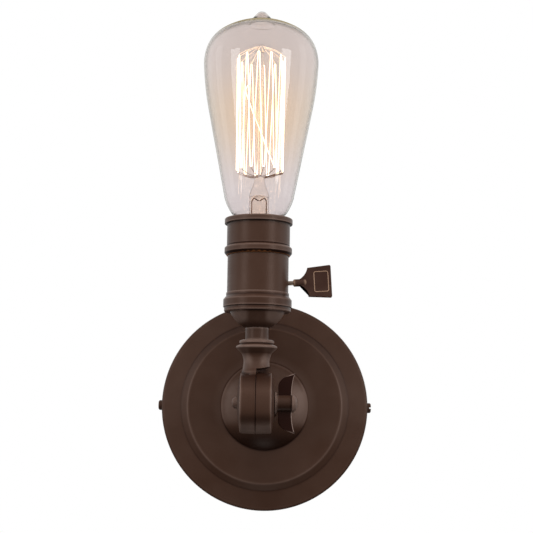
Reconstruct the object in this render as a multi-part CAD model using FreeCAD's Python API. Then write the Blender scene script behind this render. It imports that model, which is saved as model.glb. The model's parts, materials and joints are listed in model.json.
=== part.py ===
import FreeCAD, Part
import math
import os

# Swivel wall sconce, in millimetres.
# Origin: centre of the wall plate on the wall plane. +Z is up, -Y points out of the wall, +X is to the
# right of a person who faces the wall. The lamp head stands straight up from the knuckle at rest.

# General fits and overruns
OVERRUN = 5.0
SEAT_GAP = 0.1
RUNNING_GAP = 0.08
FLAT_GAP = 0.2
WIRE_BORE_R = 1.9
POLE_FLAT_SHARE = 0.12

# Wall plate, spun from steel sheet
PLATE_D = 120.0
PLATE_SHEET = 1.0
RIM_DEPTH = 9.0
RIM_EDGE_R = 1.6
BAND_RISE = 2.6
BAND_WIDTH = 11.4
RING_WIDTH = 3.9
RING_RISE = 3.2
RING_ROOT_R = 1.1
RING_BROW_R = 1.3
DOME_BASE_R = 25.3
DOME_SEAT_R = 9.8
DOME_RISE = 12.0

# Mounting strap across the electrical box
STRAP_WIDTH = 16.0
STRAP_SHEET = 1.6
STRAP_TAB_WIDTH = 12.0
STRAP_TAB_CLEARANCE = 0.4
STRAP_TAB_GAP = 0.35
STRAP_BEND_R = 0.8
BOX_SCREW_SPAN_SMALL = 69.85
BOX_SCREW_SPAN_LARGE = 88.9
BOX_SCREW_SLOT_W = 4.5
STRAP_CENTRE_HOLE_R = 5.0
GROUND_HOLE_X = 19.0

# Screws at the two sides of the rim
SIDE_SCREW_FROM_BAND = 4.4
SIDE_SCREW_R = 2.05
SIDE_SCREW_LENGTH = 9.0
SIDE_SCREW_HEAD_R = 2.9
SIDE_SCREW_HEAD_H = 2.1
SIDE_SCREW_SLOT_W = 0.9
SIDE_SCREW_SLOT_DEPTH = 1.0
RIM_HOLE_GAP = 0.3

# Ground screw in the strap
GROUND_SCREW_R = 2.2
GROUND_SCREW_HEAD_R = 4.4
GROUND_SCREW_HEAD_H = 2.4

# Threaded tube, nut and washer that hold the arm to the plate
NIPPLE_R = 4.85
NIPPLE_IN_ARM = 11.0
LOCKNUT_IN_WASHER = 0.9
LOCKNUT_H = 3.0
LOCKWASHER_IN_SEAT = 1.4
LOCKWASHER_H = 0.9
LOCKWASHER_TEETH = 10
LOCKWASHER_TOOTH_DEPTH = 1.2

# Knuckle: two round cheeks that face each other at the seam
PIVOT_OUT = 60.0
CHEEK_R = 16.8
CHEEK_EDGE_T = 8.3
CHEEK_BULGE = 1.95
CHEEK_CROWN = 0.45
CHEEK_SEAM_CHAMFER = 0.25
NECK_INTO_CHEEK_SHARE = 0.4
ARM_TO_SEAM = 4.25
POCKET_INNER_R = 5.6
POCKET_OUTER_R = 12.4
POCKET_DEPTH = 3.8
NOTCH_GAP = 3.1

# Arm neck between the plate and the knuckle
ARM_FOOT_R = 9.6
ARM_FOOT_H = 2.4
ARM_RING_R = 8.2
ARM_WAIST_R = 6.7
ARM_TOP_R = 8.1
ARM_END_ROUND = 1.5
ARM_RING_H = 1.0
ARM_WAIST_SHARE = 0.34
ARM_COVE_SHARES = (0.22, 0.7)

# Turned neck of the lamp head: radii, and lengths along it from its foot on the cheek up to its top
NECK_FOOT_R = 8.2
NECK_WAIST_R = 7.15
NECK_COVE_R = 8.4
NECK_LIP_R = 11.3
NECK_GROOVE_R = 9.0
NECK_RING_R = 9.55
NECK_RING_SHOULDER_R = 8.7
NECK_FOOT_IN_CHEEK = 0.2
NECK_LOWER_COVE_L = 6.2
NECK_UPPER_COVE_L = 4.3
NECK_BELL_L = 2.75
NECK_LIP_T = 0.9
NECK_GROOVE_L = 1.15
NECK_BEVEL_L = 0.45
NECK_RING_L = 1.3
NECK_LOWER_COVE_SHARE = 0.25
NECK_UPPER_COVE_SHARE = 0.3

# Pivot bolt and wing nut
BOLT_R = 2.4
BOLT_HEAD_R = 3.15
BOLT_HEAD_H = 2.5
BOLT_HEAD_EDGE_SHARE = 0.3
BOLT_HEAD_DOME_SHARES = (0.75, 0.86)
BOLT_INTO_NUT = 7.6
SPRING_WASHER_R = 6.0
SPRING_WASHER_T = 0.9
NUT_HUB_R = 4.5
NUT_HUB_L = 8.2
NUT_CAP_R = 4.85
NUT_CAP_H = 3.0
NUT_CAP_EDGE_T = 0.7
NUT_WALL = 1.4
NUT_CAP_DOME_SHARES = (0.72, 0.72)
WING_REACH = 16.3
WING_T = 2.4
# Outline of one wing: along the hub from its base, as shares of the hub length, and out from the axis, as
# shares of the reach.
WING_BASE_SHARE = 0.09
WING_INNER_SHARES = (0.095, 0.6)
WING_BELLY_SHARES = (0.27, 0.78)
WING_SHOULDER_SHARES = (0.62, 0.9)
WING_TIP_SHARES = (1.2, 1.0)
WING_HOLLOW_SHARES = (1.04, 0.68)
WING_OUTER_SHARES = (0.98, 0.33)

# Coupling tube between the neck and the socket cap
COUPLING_R = 6.4
COUPLING_L = 6.8
HEAD_NIPPLE_IN_NECK = 8.0
HEAD_NIPPLE_IN_CAP = 4.4
CAP_NUT_ACROSS = 13.0
CAP_NUT_H = 2.6

# Socket cap: a round cup under a stepped collar
CUP_IN_SHELL = 0.55
CUP_TOP_IN_SHELL = 1.85
CUP_H = 8.6
CAP_SHEET = 0.9
CAP_LOWER_RING_OUT = 1.45
CAP_LOWER_RING_H = 2.6
CAP_LOWER_RING_EDGE = 0.7
CAP_COLLAR_OUT = 1.95
CAP_COLLAR_H = 4.1
CAP_SHOULDER_H = 1.9
CAP_LIP_OUT = 0.45
CAP_LIP_H = 1.9
CAP_LIP_EDGE_R = 0.35

# Socket shell and the ring sleeve on its upper half
SHELL_SHEET = 0.8
SHELL_IN_CAP = 7.5
SHELL_ABOVE_CAP = 40.8
SLEEVE_OUT = 0.55
SLEEVE_BOTTOM_ABOVE_CAP = 20.6
BEAD_OUT = 1.95
BEAD_H = 5.4
RIM_OUT = 1.95
RIM_H = 3.0
RIM_LIP_T = 0.5
RIM_LIP_IN = 0.55
RIM_EDGE_ROUND = 0.6

# Inside of the socket
LINER_SHEET = 0.5
LINER_GAP = 0.12
LINER_TOP_BELOW_RIM = 1.6
SWITCH_BLOCK_GAP = 0.43
SWITCH_BLOCK_UP = 0.9
SWITCH_BLOCK_L = 20.6
SWITCH_BLOCK_FOOT_IN = 1.4
SWITCH_BLOCK_FOOT_H = 3.0
TERMINAL_FLAT_DEPTH = 3.6
TERMINAL_UP = 7.6
TERMINAL_HEAD_R = 2.9
TERMINAL_HEAD_T = 1.6
TERMINAL_SHANK_R = 1.6
TERMINAL_SHANK_L = 4.0
SCREW_SHELL_SHEET = 0.4
SCREW_SHELL_GAP = 0.3
SCREW_SHELL_RIDGE = 0.8
SCREW_SHELL_LAND = 0.6
SCREW_SHELL_AIR = 0.83
SCREW_SHELL_FLOOR_R = 6.4
CONTACT_WIDTH = 5.0
CONTACT_SHEET = 0.5
CONTACT_FOOT_X = 9.0
CONTACT_TONGUE_X = 3.2
LEAF_SHEET = 0.6
LEAF_WIDTH = 5.0

# Turn key of the switch
KEY_UP = 12.4
KEY_CANT_DEG = 3.6
KEY_SHAFT_R = 1.2
KEY_SHAFT_IN = 7.4
KEY_SHAFT_SHOWN = 2.7
KEY_COLLAR_R = 2.05
KEY_COLLAR_L = 3.8
KEY_FLARE_L = 4.3
KEY_PADDLE_L = 12.9
KEY_INNER_W = 16.0
KEY_OUTER_W = 18.2
KEY_T = 2.8
KEY_CORNER_R = 0.9
KEY_FLARE_SAG = 0.75
KEY_SHAFT_GRIP = 6.0
KEY_FRAME_FROM_OUTER = 1.5
KEY_FRAME_L = 8.2
KEY_FRAME_W = 11.6
KEY_FRAME_LINE = 0.5
KEY_FRAME_RAISE = 0.25
KEY_FRAME_CORNER_R = 1.2
ROTOR_R = 4.2
ROTOR_L = 8.0
ROTOR_FLAT_DEPTH = 0.8
ROTOR_GAP = 0.35
SHELL_KEY_SLOT_GAP = 0.6

# Bulb: a tapered glass envelope on a medium screw base
BULB_D = 64.6
BULB_LENGTH = 137.0
BULB_CROWN_H = 25.0
BULB_GLASS_T = 0.8
BULB_COLLAR_T = 0.6
BULB_NECK_IN_BASE = 4.8
TIP_R = 7.5
TIP_H = 5.7
TIP_FILLET_SHARES = (0.6, 0.4)
TIP_NOSE_SHARES = (0.3, 0.86)
TIP_ROUND_SHARES = (0.17, 0.97)
BULB_CONTACT_UP = 4.0
BULB_CONTACT_R = 4.7
BULB_CONTACT_T = 1.3
BULB_CONTACT_NOSE_SHARE = 0.7
BULB_INSULATOR_H = 3.6
BULB_INSULATOR_TOP_R = 10.4
BULB_BASE_PLAIN_L = 2.8
BULB_BASE_SHEET = 0.35
THREAD_CREST_R = 13.1
THREAD_RIDGE = 0.7
THREAD_PITCH = 3.629
THREAD_TURNS = 4
THREAD_HALF_RIDGE_SHARE = 0.42
FIRST_RIDGE_SHARE = 0.75
# Envelope from the top of the base to the widest ring: height and radius, each as a share of the way
# between them. The shares name the middles and the ends of the arcs in turn.
NECK_HOLLOW_SHARES = ((0.0245, 0.041), (0.0435, 0.126))
NECK_SWELL_SHARES = ((0.0856, 0.24), (0.1415, 0.338))
TAPER_END_SHARES = (0.69, 0.828)
SIDE_SHARES = (0.849, 0.944)
CROWN_SHOULDER_R = 18.5
CROWN_SHOULDER_FROM_SIDE = 18.9
CROWN_SHOULDER_FROM_TOP = 22.5

# Glass stem, wires and lit strand inside the bulb
STEM_FLARE_GAP = 0.5
STEM_TUBE_R = 5.4
STEM_TUBE_WALL = 0.8
STEM_TUBE_L = 23.2
STEM_PRESS_R = 2.6
STEM_PRESS_L = 6.8
STEM_ROD_R = 1.3
STEM_ROD_BELOW_TOP = 17.4
STEM_BUTTON_R = 2.4
SUPPORT_WIRE_R = 0.28
LEAD_WIRE_R = 0.4
STRAND_R = 0.3
STRAND_RUNS = 12
CAGE_TOP_R = 12.4
CAGE_FAN_DROP = 3.2
CAGE_BOTTOM_R = 14.2
CAGE_HOOK_RISE = 3.2
HOOK_ROOT_DROP = 0.8

# Places and sizes worked out from the sizes above
PLATE_R = PLATE_D / 2
BAND_TOP = RIM_DEPTH + BAND_RISE
DISC_TOP = BAND_TOP + RING_RISE
SEAT_OUT = DISC_TOP + DOME_RISE
RING_OUTER_R = PLATE_R - BAND_WIDTH
RING_INNER_R = RING_OUTER_R - RING_WIDTH
STRAP_TAB_DEPTH = RIM_DEPTH - PLATE_SHEET - STRAP_TAB_CLEARANCE
STRAP_HALF = math.sqrt(PLATE_R ** 2 - (STRAP_TAB_WIDTH / 2) ** 2) - PLATE_SHEET - STRAP_TAB_GAP
SIDE_SCREW_DEPTH = RIM_DEPTH - SIDE_SCREW_FROM_BAND
LOCKWASHER_R = DOME_SEAT_R - LOCKWASHER_IN_SEAT
LOCKNUT_ACROSS = 2 * (LOCKWASHER_R - LOCKNUT_IN_WASHER)
SEAM_X = -ARM_TO_SEAM
CHEEK_T = CHEEK_EDGE_T + CHEEK_BULGE
NOTCH_R = CHEEK_R + NOTCH_GAP

# Heights above the pivot, up the lamp head
NECK_FOOT_H = CHEEK_R - NECK_FOOT_IN_CHEEK
NECK_WAIST_H = NECK_FOOT_H + NECK_LOWER_COVE_L
NECK_COVE_H = NECK_WAIST_H + NECK_UPPER_COVE_L
NECK_LIP_H = NECK_COVE_H + NECK_BELL_L
NECK_GROOVE_H = NECK_LIP_H + NECK_LIP_T + NECK_GROOVE_L
NECK_RING_H = NECK_GROOVE_H + NECK_BEVEL_L
NECK_TOP_H = NECK_RING_H + NECK_RING_L + NECK_BEVEL_L
COUPLING_TOP_H = NECK_TOP_H + COUPLING_L
CUP_TOP_H = COUPLING_TOP_H + CUP_H
CAP_TOP_H = CUP_TOP_H + CAP_LOWER_RING_H + CAP_COLLAR_H + CAP_SHOULDER_H + CAP_LIP_H
SHELL_BOTTOM_H = CAP_TOP_H - SHELL_IN_CAP
RIM_TOP_H = CAP_TOP_H + SHELL_ABOVE_CAP + RIM_LIP_T
SLEEVE_BOTTOM_H = CAP_TOP_H + SLEEVE_BOTTOM_ABOVE_CAP
SWITCH_BLOCK_BOTTOM_H = SHELL_BOTTOM_H + SWITCH_BLOCK_UP
SWITCH_BLOCK_TOP_H = SWITCH_BLOCK_BOTTOM_H + SWITCH_BLOCK_L
TERMINAL_H = SWITCH_BLOCK_BOTTOM_H + TERMINAL_UP
KEY_H = SWITCH_BLOCK_BOTTOM_H + KEY_UP
BULB_CONTACT_H = SWITCH_BLOCK_TOP_H + BULB_CONTACT_UP
BULB_INSULATOR_BASE_H = BULB_CONTACT_H + BULB_CONTACT_T
BULB_BASE_BOTTOM_H = BULB_INSULATOR_BASE_H + BULB_INSULATOR_H
BULB_BASE_TOP_H = BULB_BASE_BOTTOM_H + THREAD_PITCH * THREAD_TURNS + BULB_BASE_PLAIN_L
FIRST_RIDGE_H = BULB_BASE_BOTTOM_H + THREAD_PITCH * FIRST_RIDGE_SHARE
LAST_RIDGE_TOP_H = FIRST_RIDGE_H + THREAD_PITCH * (THREAD_TURNS - 1 + THREAD_HALF_RIDGE_SHARE)
SCREW_SHELL_TOP_H = LAST_RIDGE_TOP_H + SCREW_SHELL_LAND
BULB_NECK_H = BULB_BASE_TOP_H - BULB_NECK_IN_BASE
BULB_TOP_H = BULB_CONTACT_H + BULB_LENGTH
BULB_WIDEST_H = BULB_TOP_H - BULB_CROWN_H
STEM_SHOULDER_H = BULB_NECK_H + STEM_TUBE_L
STEM_PRESS_H = STEM_SHOULDER_H + STEM_PRESS_L
STEM_ROD_TOP_H = BULB_TOP_H - STEM_ROD_BELOW_TOP
CAGE_TOP_H = STEM_ROD_TOP_H - CAGE_FAN_DROP
CAGE_BOTTOM_H = STEM_PRESS_H + CAGE_HOOK_RISE

# Radii, from the bulb's thread out to the socket's collars
BULB_NECK_R = THREAD_CREST_R - BULB_COLLAR_T
STEM_FLARE_R = BULB_NECK_R - BULB_GLASS_T - STEM_FLARE_GAP
SCREW_SHELL_CREST_R = THREAD_CREST_R + SCREW_SHELL_GAP
LINER_R = SCREW_SHELL_CREST_R + SCREW_SHELL_SHEET + SCREW_SHELL_RIDGE + SCREW_SHELL_AIR + LINER_SHEET
SHELL_R = LINER_R + LINER_GAP + SHELL_SHEET
SWITCH_BLOCK_R = LINER_R - LINER_SHEET - SWITCH_BLOCK_GAP
SWITCH_BLOCK_FOOT_R = SWITCH_BLOCK_R - SWITCH_BLOCK_FOOT_IN
SLEEVE_R = SHELL_R + SLEEVE_OUT
BEAD_R = SHELL_R + BEAD_OUT
RIM_R = SHELL_R + RIM_OUT
RIM_LIP_INNER_R = SHELL_R - RIM_LIP_IN
CUP_R = SHELL_R - CUP_IN_SHELL
CUP_TOP_R = SHELL_R - CUP_TOP_IN_SHELL
CAP_LOWER_RING_R = SHELL_R + CAP_LOWER_RING_OUT
CAP_COLLAR_R = SHELL_R + CAP_COLLAR_OUT
CAP_LIP_R = SHELL_R + CAP_LIP_OUT
KEY_CANT = math.radians(KEY_CANT_DEG)

X_AXIS = FreeCAD.Vector(1, 0, 0)
Y_AXIS = FreeCAD.Vector(0, 1, 0)
Z_AXIS = FreeCAD.Vector(0, 0, 1)
OUT_AXIS = FreeCAD.Vector(0, -1, 0)
ZERO = FreeCAD.Vector(0, 0, 0)


# Outlines in a flat plane: a corner is (a, b) or (a, b, fillet radius), and ("via", a, b) between two
# corners makes the side between them an arc through that point.

def corner_cut(before, at, after, radius):
    """Start, middle and end of the fillet arc at a corner, or None where the corner stays sharp."""
    to_before = FreeCAD.Vector(before[0] - at[0], before[1] - at[1], 0)
    to_after = FreeCAD.Vector(after[0] - at[0], after[1] - at[1], 0)
    room = min(to_before.Length, to_after.Length)
    to_before.normalize()
    to_after.normalize()
    half = to_before.getAngle(to_after) / 2
    if half > math.radians(88):
        return None
    reach = min(radius / math.tan(half), room * 0.48)
    radius = reach * math.tan(half)
    middle_way = to_before + to_after
    middle_way.normalize()
    corner = FreeCAD.Vector(at[0], at[1], 0)
    centre = corner + middle_way * (radius / math.sin(half))
    return corner + to_before * reach, centre - middle_way * radius, corner + to_after * reach


def outline_edges(corners):
    """Edges of a closed outline in the XY plane."""
    count = len(corners)
    starts = {}
    ends = {}
    edges = []
    for i, at in enumerate(corners):
        if at[0] == "via":
            continue
        point = FreeCAD.Vector(at[0], at[1], 0)
        starts[i] = point
        ends[i] = point
        before = corners[i - 1]
        after = corners[(i + 1) % count]
        if len(at) > 2 and at[2] > 0 and before[0] != "via" and after[0] != "via":
            cut = corner_cut(before, at, after, at[2])
            if cut:
                starts[i] = cut[0]
                ends[i] = cut[2]
                edges.append(Part.Arc(cut[0], cut[1], cut[2]).toShape())
    for i, at in enumerate(corners):
        if at[0] == "via":
            middle = FreeCAD.Vector(at[1], at[2], 0)
            edges.append(Part.Arc(ends[i - 1], middle, starts[(i + 1) % count]).toShape())
        elif corners[(i + 1) % count][0] != "via":
            run = starts[(i + 1) % count] - ends[i]
            if run.Length > 1e-6:
                edges.append(Part.LineSegment(ends[i], starts[(i + 1) % count]).toShape())
    return edges


def outline_face(corners):
    """Flat face in the XY plane inside a closed outline."""
    edges = Part.sortEdges(outline_edges(corners))[0]
    return Part.Face(Part.Wire(edges))


def revolved(face):
    """Solid swept about +Z by a face that was drawn with radius along X and height along Y."""
    face.rotate(ZERO, X_AXIS, 90)
    solid = face.revolve(ZERO, Z_AXIS, 360)
    if solid.Volume < 0:
        solid.reverse()
    return solid


def turned(corners):
    """Solid of revolution about +Z; each corner is (radius, height) with an optional fillet."""
    return revolved(outline_face(corners))


def ring_tube(inner_r, outer_r, low, high):
    """Plain tube about +Z between two heights."""
    return turned([(inner_r, low), (outer_r, low), (outer_r, high), (inner_r, high)])


def plate_of(corners, thickness):
    """The outline, drawn along X and Z, as a plate centred on Y = 0."""
    face = outline_face(corners)
    face.rotate(ZERO, X_AXIS, 90)
    face.translate(FreeCAD.Vector(0, thickness / 2, 0))
    return face.extrude(FreeCAD.Vector(0, -thickness, 0))


def rod(radius, start, end):
    """Round bar between two points."""
    way = end - start
    return Part.makeCylinder(radius, way.Length, start, way)


def block(low, high):
    """Rectangular block between two opposite corners."""
    return Part.makeBox(high[0] - low[0], high[1] - low[1], high[2] - low[2], FreeCAD.Vector(*low))


def joined(shapes):
    """One solid from shapes that run into each other."""
    whole = shapes[0].multiFuse(shapes[1:]) if len(shapes) > 1 else shapes[0]
    return whole.removeSplitter()


def bore_through(radius, height):
    """Round bore about +Z that runs past both faces of a piece of this height."""
    return Part.makeCylinder(radius, height + OVERRUN, FreeCAD.Vector(0, 0, -OVERRUN / 2))


def hexagon(across, height):
    """Six-sided bar about +Z from height zero."""
    corner_r = across / math.sqrt(3)
    turns = [math.radians(60 * k) for k in range(6)]
    face = outline_face([(corner_r * math.cos(a), corner_r * math.sin(a)) for a in turns])
    return face.extrude(FreeCAD.Vector(0, 0, height))


def facing_out(shape, out=0.0):
    """A shape made about +Z, laid along the wall's normal, its zero height this far from the wall."""
    shape.rotate(ZERO, X_AXIS, 90)
    shape.translate(FreeCAD.Vector(0, -out, 0))
    return shape


def on_head(shape):
    """A shape made about +Z with heights above the pivot, moved onto the head's upright axis."""
    shape.translate(FreeCAD.Vector(SEAM_X, -PIVOT_OUT, 0))
    return shape


def across_pivot(shape, along=0.0):
    """A shape made about +Z, laid along +X on the pivot axis, its zero height this far from the seam."""
    shape.rotate(ZERO, Y_AXIS, 90)
    shape.translate(FreeCAD.Vector(SEAM_X + along, -PIVOT_OUT, 0))
    return shape


def on_key_axis(shape, along=0.0):
    """A shape drawn with +X along the key's shaft from the head's axis, moved to the canted shaft."""
    centre_h = KEY_H - SHELL_R * math.tan(KEY_CANT)
    shape.translate(FreeCAD.Vector(along, 0, 0))
    shape.rotate(ZERO, Y_AXIS, -KEY_CANT_DEG)
    shape.translate(FreeCAD.Vector(SEAM_X, -PIVOT_OUT, centre_h))
    return shape


def along_key(radius, start, end):
    """Round bar on the key's shaft axis between two distances from the head's axis."""
    return on_key_axis(rod(radius, FreeCAD.Vector(start, 0, 0), FreeCAD.Vector(end, 0, 0)))


# Wall plate and what fixes it

def plate_skin(inset):
    """Stepped disc of the plate, as a solid, drawn in by the sheet thickness for the hollow side."""
    edge = PLATE_R - inset
    return turned([
        (0, 0), (edge, 0), (edge, RIM_DEPTH - inset, max(RIM_EDGE_R - inset, inset / 4)),
        (RING_OUTER_R - inset, BAND_TOP - inset, RING_ROOT_R + inset),
        (RING_INNER_R - inset, DISC_TOP - inset, max(RING_BROW_R - inset, inset / 4)),
        (0, DISC_TOP - inset),
    ])


def dome_ball():
    """Centre height above the flat disc and radius of the ball that the dome is part of."""
    centre = (DOME_RISE ** 2 + DOME_SEAT_R ** 2 - DOME_BASE_R ** 2) / (2 * DOME_RISE)
    return centre, math.hypot(DOME_BASE_R, centre)


def dome_cap(inset):
    """Dome in the middle of the plate, cut flat at the arm's seat."""
    centre, radius = dome_ball()
    ball = Part.makeSphere(radius - inset, FreeCAD.Vector(0, 0, DISC_TOP + centre))
    slab_foot = FreeCAD.Vector(0, 0, DISC_TOP - PLATE_SHEET - inset)
    return ball.common(Part.makeCylinder(PLATE_R, SEAT_OUT - DISC_TOP + PLATE_SHEET, slab_foot))


def backplate():
    outer = plate_skin(0.0).fuse(dome_cap(0.0))
    inner = plate_skin(PLATE_SHEET).fuse(dome_cap(PLATE_SHEET))
    sheet = facing_out(outer.cut(inner))
    hole = Part.makeCylinder(NIPPLE_R + SEAT_GAP, SEAT_OUT + OVERRUN, ZERO, OUT_AXIS)
    side_hole = rod(SIDE_SCREW_R + RIM_HOLE_GAP, FreeCAD.Vector(-PLATE_R - OVERRUN, -SIDE_SCREW_DEPTH, 0),
                    FreeCAD.Vector(PLATE_R + OVERRUN, -SIDE_SCREW_DEPTH, 0))
    return sheet.cut(hole).cut(side_hole)


def mounting_strap():
    half_w = STRAP_WIDTH / 2
    tab_half = STRAP_TAB_WIDTH / 2
    inner = STRAP_HALF - STRAP_SHEET
    bend = STRAP_BEND_R
    path = outline_face([
        (-STRAP_HALF, 0, bend + STRAP_SHEET), (STRAP_HALF, 0, bend + STRAP_SHEET),
        (STRAP_HALF, -STRAP_TAB_DEPTH), (inner, -STRAP_TAB_DEPTH),
        (inner, -STRAP_SHEET, bend), (-inner, -STRAP_SHEET, bend),
        (-inner, -STRAP_TAB_DEPTH), (-STRAP_HALF, -STRAP_TAB_DEPTH),
    ])
    path.translate(FreeCAD.Vector(0, 0, -half_w))
    strap = path.extrude(FreeCAD.Vector(0, 0, STRAP_WIDTH))
    shoulder = inner - bend - STRAP_SHEET
    for side in (-1, 1):
        for edge in (-1, 1):
            low_x, high_x = sorted((side * shoulder, side * (STRAP_HALF + OVERRUN)))
            low_z, high_z = sorted((edge * tab_half, edge * (half_w + OVERRUN)))
            strap = strap.cut(block((low_x, -STRAP_TAB_DEPTH - OVERRUN, low_z), (high_x, OVERRUN, high_z)))
    slot_middle = (BOX_SCREW_SPAN_SMALL + BOX_SCREW_SPAN_LARGE) / 4
    slot_run = (BOX_SCREW_SPAN_LARGE - BOX_SCREW_SPAN_SMALL) / 4
    slot_r = BOX_SCREW_SLOT_W / 2
    for side in (-1, 1):
        centre = side * slot_middle
        strap = strap.cut(block((centre - slot_run, -STRAP_SHEET - OVERRUN, -slot_r),
                                (centre + slot_run, OVERRUN, slot_r)))
        for end in (-1, 1):
            at = centre + end * slot_run
            strap = strap.cut(rod(slot_r, FreeCAD.Vector(at, OVERRUN, 0),
                                  FreeCAD.Vector(at, -STRAP_SHEET - OVERRUN, 0)))
        tab_at = side * (STRAP_HALF - STRAP_SHEET / 2)
        hole_start = FreeCAD.Vector(tab_at - STRAP_SHEET, -SIDE_SCREW_DEPTH, 0)
        hole_end = FreeCAD.Vector(tab_at + STRAP_SHEET, -SIDE_SCREW_DEPTH, 0)
        strap = strap.cut(rod(SIDE_SCREW_R + SEAT_GAP, hole_start, hole_end))
    for at, radius in ((0, STRAP_CENTRE_HOLE_R), (GROUND_HOLE_X, GROUND_SCREW_R + SEAT_GAP)):
        strap = strap.cut(rod(radius, FreeCAD.Vector(at, OVERRUN, 0),
                              FreeCAD.Vector(at, -STRAP_SHEET - OVERRUN, 0)))
    return strap


def slotted_screw(radius, length, head_r, head_h, slot_w, slot_depth):
    """Pan-head screw about +Z: the shank runs down from zero and the head stands up from it."""
    screw = turned([
        (0, -length), (radius, -length, radius / 4), (radius, 0), (head_r, 0),
        (head_r, head_h, head_h * 0.6), (0, head_h),
    ])
    slot = block((-head_r - OVERRUN, -slot_w / 2, head_h - slot_depth),
                 (head_r + OVERRUN, slot_w / 2, head_h + OVERRUN))
    return screw.cut(slot)


def side_screws():
    screws = []
    for side, slot_turn in ((-1, 90), (1, 0)):
        screw = slotted_screw(SIDE_SCREW_R, SIDE_SCREW_LENGTH, SIDE_SCREW_HEAD_R, SIDE_SCREW_HEAD_H,
                              SIDE_SCREW_SLOT_W, SIDE_SCREW_SLOT_DEPTH)
        screw.rotate(ZERO, Z_AXIS, slot_turn)
        screw.rotate(ZERO, Y_AXIS, side * 90)
        screw.translate(FreeCAD.Vector(side * PLATE_R, -SIDE_SCREW_DEPTH, 0))
        screws.append(screw)
    return Part.makeCompound(screws)


def ground_screw():
    screw = slotted_screw(GROUND_SCREW_R, STRAP_SHEET, GROUND_SCREW_HEAD_R, GROUND_SCREW_HEAD_H,
                          SIDE_SCREW_SLOT_W, SIDE_SCREW_SLOT_DEPTH)
    screw.translate(FreeCAD.Vector(GROUND_HOLE_X, 0, 0))
    return facing_out(screw, STRAP_SHEET)


def arm_nipple():
    inner_end = SEAT_OUT - PLATE_SHEET - LOCKWASHER_H - LOCKNUT_H - LOCKWASHER_H
    tube = turned([
        (WIRE_BORE_R, inner_end), (NIPPLE_R, inner_end, PLATE_SHEET / 2),
        (NIPPLE_R, SEAT_OUT + NIPPLE_IN_ARM, PLATE_SHEET / 2), (WIRE_BORE_R, SEAT_OUT + NIPPLE_IN_ARM),
    ])
    return facing_out(tube)


def washer_with_teeth():
    """Internal-tooth washer about +Z from height zero."""
    ring = turned([
        (NIPPLE_R + SEAT_GAP, 0), (LOCKWASHER_R, 0), (LOCKWASHER_R, LOCKWASHER_H),
        (NIPPLE_R + SEAT_GAP, LOCKWASHER_H),
    ])
    for k in range(LOCKWASHER_TEETH):
        gap = block((NIPPLE_R - SEAT_GAP, -LOCKWASHER_TOOTH_DEPTH / 2, -OVERRUN),
                    (NIPPLE_R + LOCKWASHER_TOOTH_DEPTH, LOCKWASHER_TOOTH_DEPTH / 2, OVERRUN))
        gap.rotate(ZERO, Z_AXIS, 360 * k / LOCKWASHER_TEETH)
        ring = ring.cut(gap)
    return ring


def nipple_lockwasher():
    return facing_out(washer_with_teeth(), SEAT_OUT - PLATE_SHEET - LOCKWASHER_H)


def nipple_locknut():
    nut = hexagon(LOCKNUT_ACROSS, LOCKNUT_H)
    nut = nut.cut(bore_through(NIPPLE_R + SEAT_GAP, LOCKNUT_H))
    return facing_out(nut, SEAT_OUT - PLATE_SHEET - LOCKWASHER_H - LOCKNUT_H)


# Knuckle

def cheek(bore_r):
    """Round cheek about +Z: its flat seam face is at zero height and its outer face bulges upwards."""
    outer_r = CHEEK_R - CHEEK_CROWN
    bulge_r = (outer_r ** 2 + CHEEK_BULGE ** 2) / (2 * CHEEK_BULGE)
    half_r = outer_r / 2
    half_h = CHEEK_T - bulge_r + math.sqrt(bulge_r ** 2 - half_r ** 2)
    body = turned([
        (0, 0), (CHEEK_R, 0, CHEEK_SEAM_CHAMFER), (outer_r, CHEEK_EDGE_T), ("via", half_r, half_h),
        (0, CHEEK_T),
    ])
    boss_r = BOLT_HEAD_R + SPRING_WASHER_T
    body = body.fuse(Part.makeCylinder(boss_r, CHEEK_T))
    return body.cut(bore_through(bore_r, CHEEK_T))


def notch(side):
    """Space that the other cheek turns in: a drum on the pivot axis, on one side of the seam."""
    start = 0 if side > 0 else -PLATE_R
    drum = Part.makeCylinder(NOTCH_R, PLATE_R)
    drum.translate(FreeCAD.Vector(0, 0, start))
    return across_pivot(drum)


def wall_arm():
    neck_end = PIVOT_OUT - SEAT_OUT
    ring_top = ARM_FOOT_H + ARM_RING_H
    waist_at = neck_end * ARM_WAIST_SHARE
    cove_r = ARM_WAIST_R + (ARM_RING_R - ARM_WAIST_R) * ARM_COVE_SHARES[0]
    stem_end = neck_end - CHEEK_R * (1 - NECK_INTO_CHEEK_SHARE)
    stem = turned([
        (0, 0), (ARM_FOOT_R, 0, ARM_RING_H / 2), (ARM_FOOT_R, ARM_FOOT_H, ARM_RING_H / 2),
        (ARM_RING_R, ARM_FOOT_H), (ARM_RING_R, ring_top), ("via", cove_r, waist_at * ARM_COVE_SHARES[1]),
        (ARM_WAIST_R, waist_at), (ARM_TOP_R, neck_end - CHEEK_R), (ARM_TOP_R, stem_end, ARM_END_ROUND),
        (0, stem_end),
    ])
    stem = facing_out(stem, SEAT_OUT).cut(notch(-1))
    disc = across_pivot(cheek(BOLT_R + RUNNING_GAP), FLAT_GAP / 2)
    arm = stem.fuse(disc)
    nipple_bore = Part.makeCylinder(NIPPLE_R + SEAT_GAP, NIPPLE_IN_ARM + SEAT_GAP + OVERRUN)
    arm = arm.cut(facing_out(nipple_bore, SEAT_OUT - OVERRUN))
    wire_way = Part.makeCylinder(WIRE_BORE_R, neck_end - POCKET_INNER_R - WIRE_BORE_R)
    arm = arm.cut(facing_out(wire_way, SEAT_OUT))
    return arm.removeSplitter()


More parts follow.
